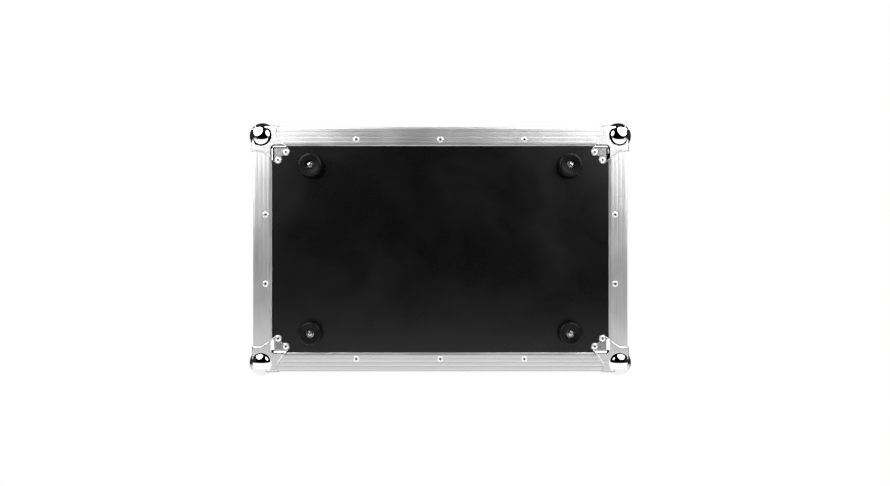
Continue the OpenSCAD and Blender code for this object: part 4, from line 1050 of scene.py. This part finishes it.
def foam_pad(node, name):
    shape = merged_copy(node)
    bmesh.ops.dissolve_limit(shape, angle_limit=NEARLY_FLAT, verts=shape.verts,
                             edges=shape.edges)
    sharp = [e for e in shape.edges if e.is_manifold and e.calc_face_angle() > SAWN_EDGE]
    bmesh.ops.bevel(shape, geom=sharp, offset=EDGE_ROUND, offset_type="OFFSET", segments=3,
                    profile=0.5, material=-1, affect="EDGES", clamp_overlap=True)
    low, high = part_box(node)
    for axis in range(3):
        count = max(2, int((high[axis] - low[axis]) / STRIP))
        normal = Vector((0, 0, 0))
        normal[axis] = 1
        for step in range(1, count):
            place = low.copy()
            place[axis] += (high[axis] - low[axis]) * step / count
            bmesh.ops.bisect_plane(shape, geom=shape.verts[:] + shape.edges[:]
                                   + shape.faces[:], plane_co=place, plane_no=normal,
                                   dist=WELD)
    shape.normal_update()
    moves = {v: -v.normal * (DRAWN_IN + UNEVEN * noise.noise(v.co * WAVES))
             for v in shape.verts}
    for vert, move in moves.items():
        vert.co += move
    bmesh.ops.triangulate(shape, faces=[f for f in shape.faces if len(f.verts) > 4])
    shade(shape, crease_degrees=70)
    pad = make_piece(name, shape, [dark_foam], [node])


for node, name in FOAMS.items():
    foam_pad(node, name)

# %% [markdown]
# ## Pressed and cut hardware
# Dishes, braces, leaves and hooks have the right shape as solids, but sheet steel never ends
# in a perfectly sharp edge, and that thin rounded line is what catches the light. So each is
# a copy of its solid with a fine Bevel modifier, limited to the sharp bends. The deep drawn
# dishes get a wider round than the flat blanks, as their presses leave it.

# %% Rounded edges on the hardware
ONE_PLANE, SHARP_BEND = math.radians(0.3), math.radians(40)


def rounded_hardware(node, name, radius_mm, finish):
    shape = merged_copy(node)
    bmesh.ops.dissolve_limit(shape, angle_limit=ONE_PLANE, verts=shape.verts,
                             edges=shape.edges)
    shade(shape)
    piece = make_piece(name, shape, [finish], [node])
    rounding = piece.modifiers.new("rounded_edges", "BEVEL")
    rounding.width = radius_mm * MM
    rounding.segments = 2
    rounding.limit_method = "ANGLE"
    rounding.angle_limit = SHARP_BEND
    rounding.use_clamp_overlap = False


for half in ("base", "lid"):
    rounded_hardware(f"{half}_rim_braces", f"{half}_bent_braces", 0.35, satin_chrome)
    rounded_hardware(f"hinge_{half}_leaves", f"{half}_hinge_plates", 0.25, satin_chrome)
for side in ("left", "right"):
    for node, name, radius_mm in (
            ("latch_dish", "pressed_latch_dish", 0.3), ("keeper_dish", "pressed_keeper", 0.3),
            ("latch_spindle", "turning_spindle", 0.15), ("latch_wing", "butterfly_wing", 0.2),
            ("latch_draw", "draw_plate", 0.12), ("latch_hook", "bent_hook", 0.2)):
        rounded_hardware(f"{node}_{side}", f"{name}_{side}", radius_mm, zinc_steel)
rounded_hardware("handle_dish", "pressed_handle_dish", 0.35, zinc_steel)
rounded_hardware("handle_bail", "bent_bail", 0.2, zinc_steel)
rounded_hardware("handle_grip", "moulded_grip", 0.15, black_rubber)
print("hardware rounded")

# %% [markdown]
# The return spring is wound from round wire. A curve with a round bevel is the natural way to
# draw wire: its points follow the solid's own screw line, and a NURBS spline rounds the
# places where the legs leave the coil, as a winding machine does. It is turned into a mesh.

# %% Return spring of the handle
WIRE, COIL_RADIUS, COIL_PITCH, COIL_TURNS = 1.4, 3.8, 1.95, 4.25
COIL_START = Vector((-53.0, -185.9, 111.0))
POINTS_PER_TURN = 20


def spring_path():
    """Points of the wire's middle line, from the back leg to the hooked end."""
    steps = int(COIL_TURNS * POINTS_PER_TURN)
    path = [(0, 5.5, COIL_RADIUS), (0, 3.0, COIL_RADIUS), (0, 1.0, COIL_RADIUS)]
    for step in range(steps + 1):
        turn = COIL_TURNS * step / steps
        path.append((COIL_PITCH * turn, -COIL_RADIUS * math.sin(math.tau * turn),
                     COIL_RADIUS * math.cos(math.tau * turn)))
    end = COIL_PITCH * COIL_TURNS
    path += [(end, -4.1, -2.5), (end, -4.45, -5.5), (end, -4.75, -7.9)]
    path += [(end + along, -4.8, -8.3) for along in (0.4, 4, 8.4)]
    return [(COIL_START + Vector(point)) * MM for point in path]


wire_curve = bpy.data.curves.new("spring_wire", "CURVE")
wire_curve.dimensions = "3D"
wire_curve.bevel_depth = WIRE / 2 * MM
wire_curve.bevel_resolution = 3
wire_curve.use_fill_caps = True
spline = wire_curve.splines.new("NURBS")
path = spring_path()
spline.points.add(len(path) - 1)
for point, place in zip(spline.points, path):
    point.co = (*place, 1)
spline.order_u = 3
spline.resolution_u = 2
spline.use_endpoint_u = True
holder = put_in_scene("spring_wire", wire_curve)
coil = bmesh.new()
coil.from_mesh(holder.to_mesh())
bpy.data.objects.remove(holder)
bmesh.ops.remove_doubles(coil, verts=coil.verts, dist=2 * FINE_WELD)
bmesh.ops.recalc_face_normals(coil, faces=coil.faces)
shade(coil, crease_degrees=50)
make_piece("return_spring", coil, [plain_steel], ["handle_spring"])

# %% [markdown]
# ## The size
# The construction model gives the size, so the dressed model's box is printed beside it.

# %% Print both boxes and finish
dressed_box = [list(corner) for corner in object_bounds()]
print("dressed box in mm:", [[round(c / MM, 1) for c in corner] for corner in dressed_box])
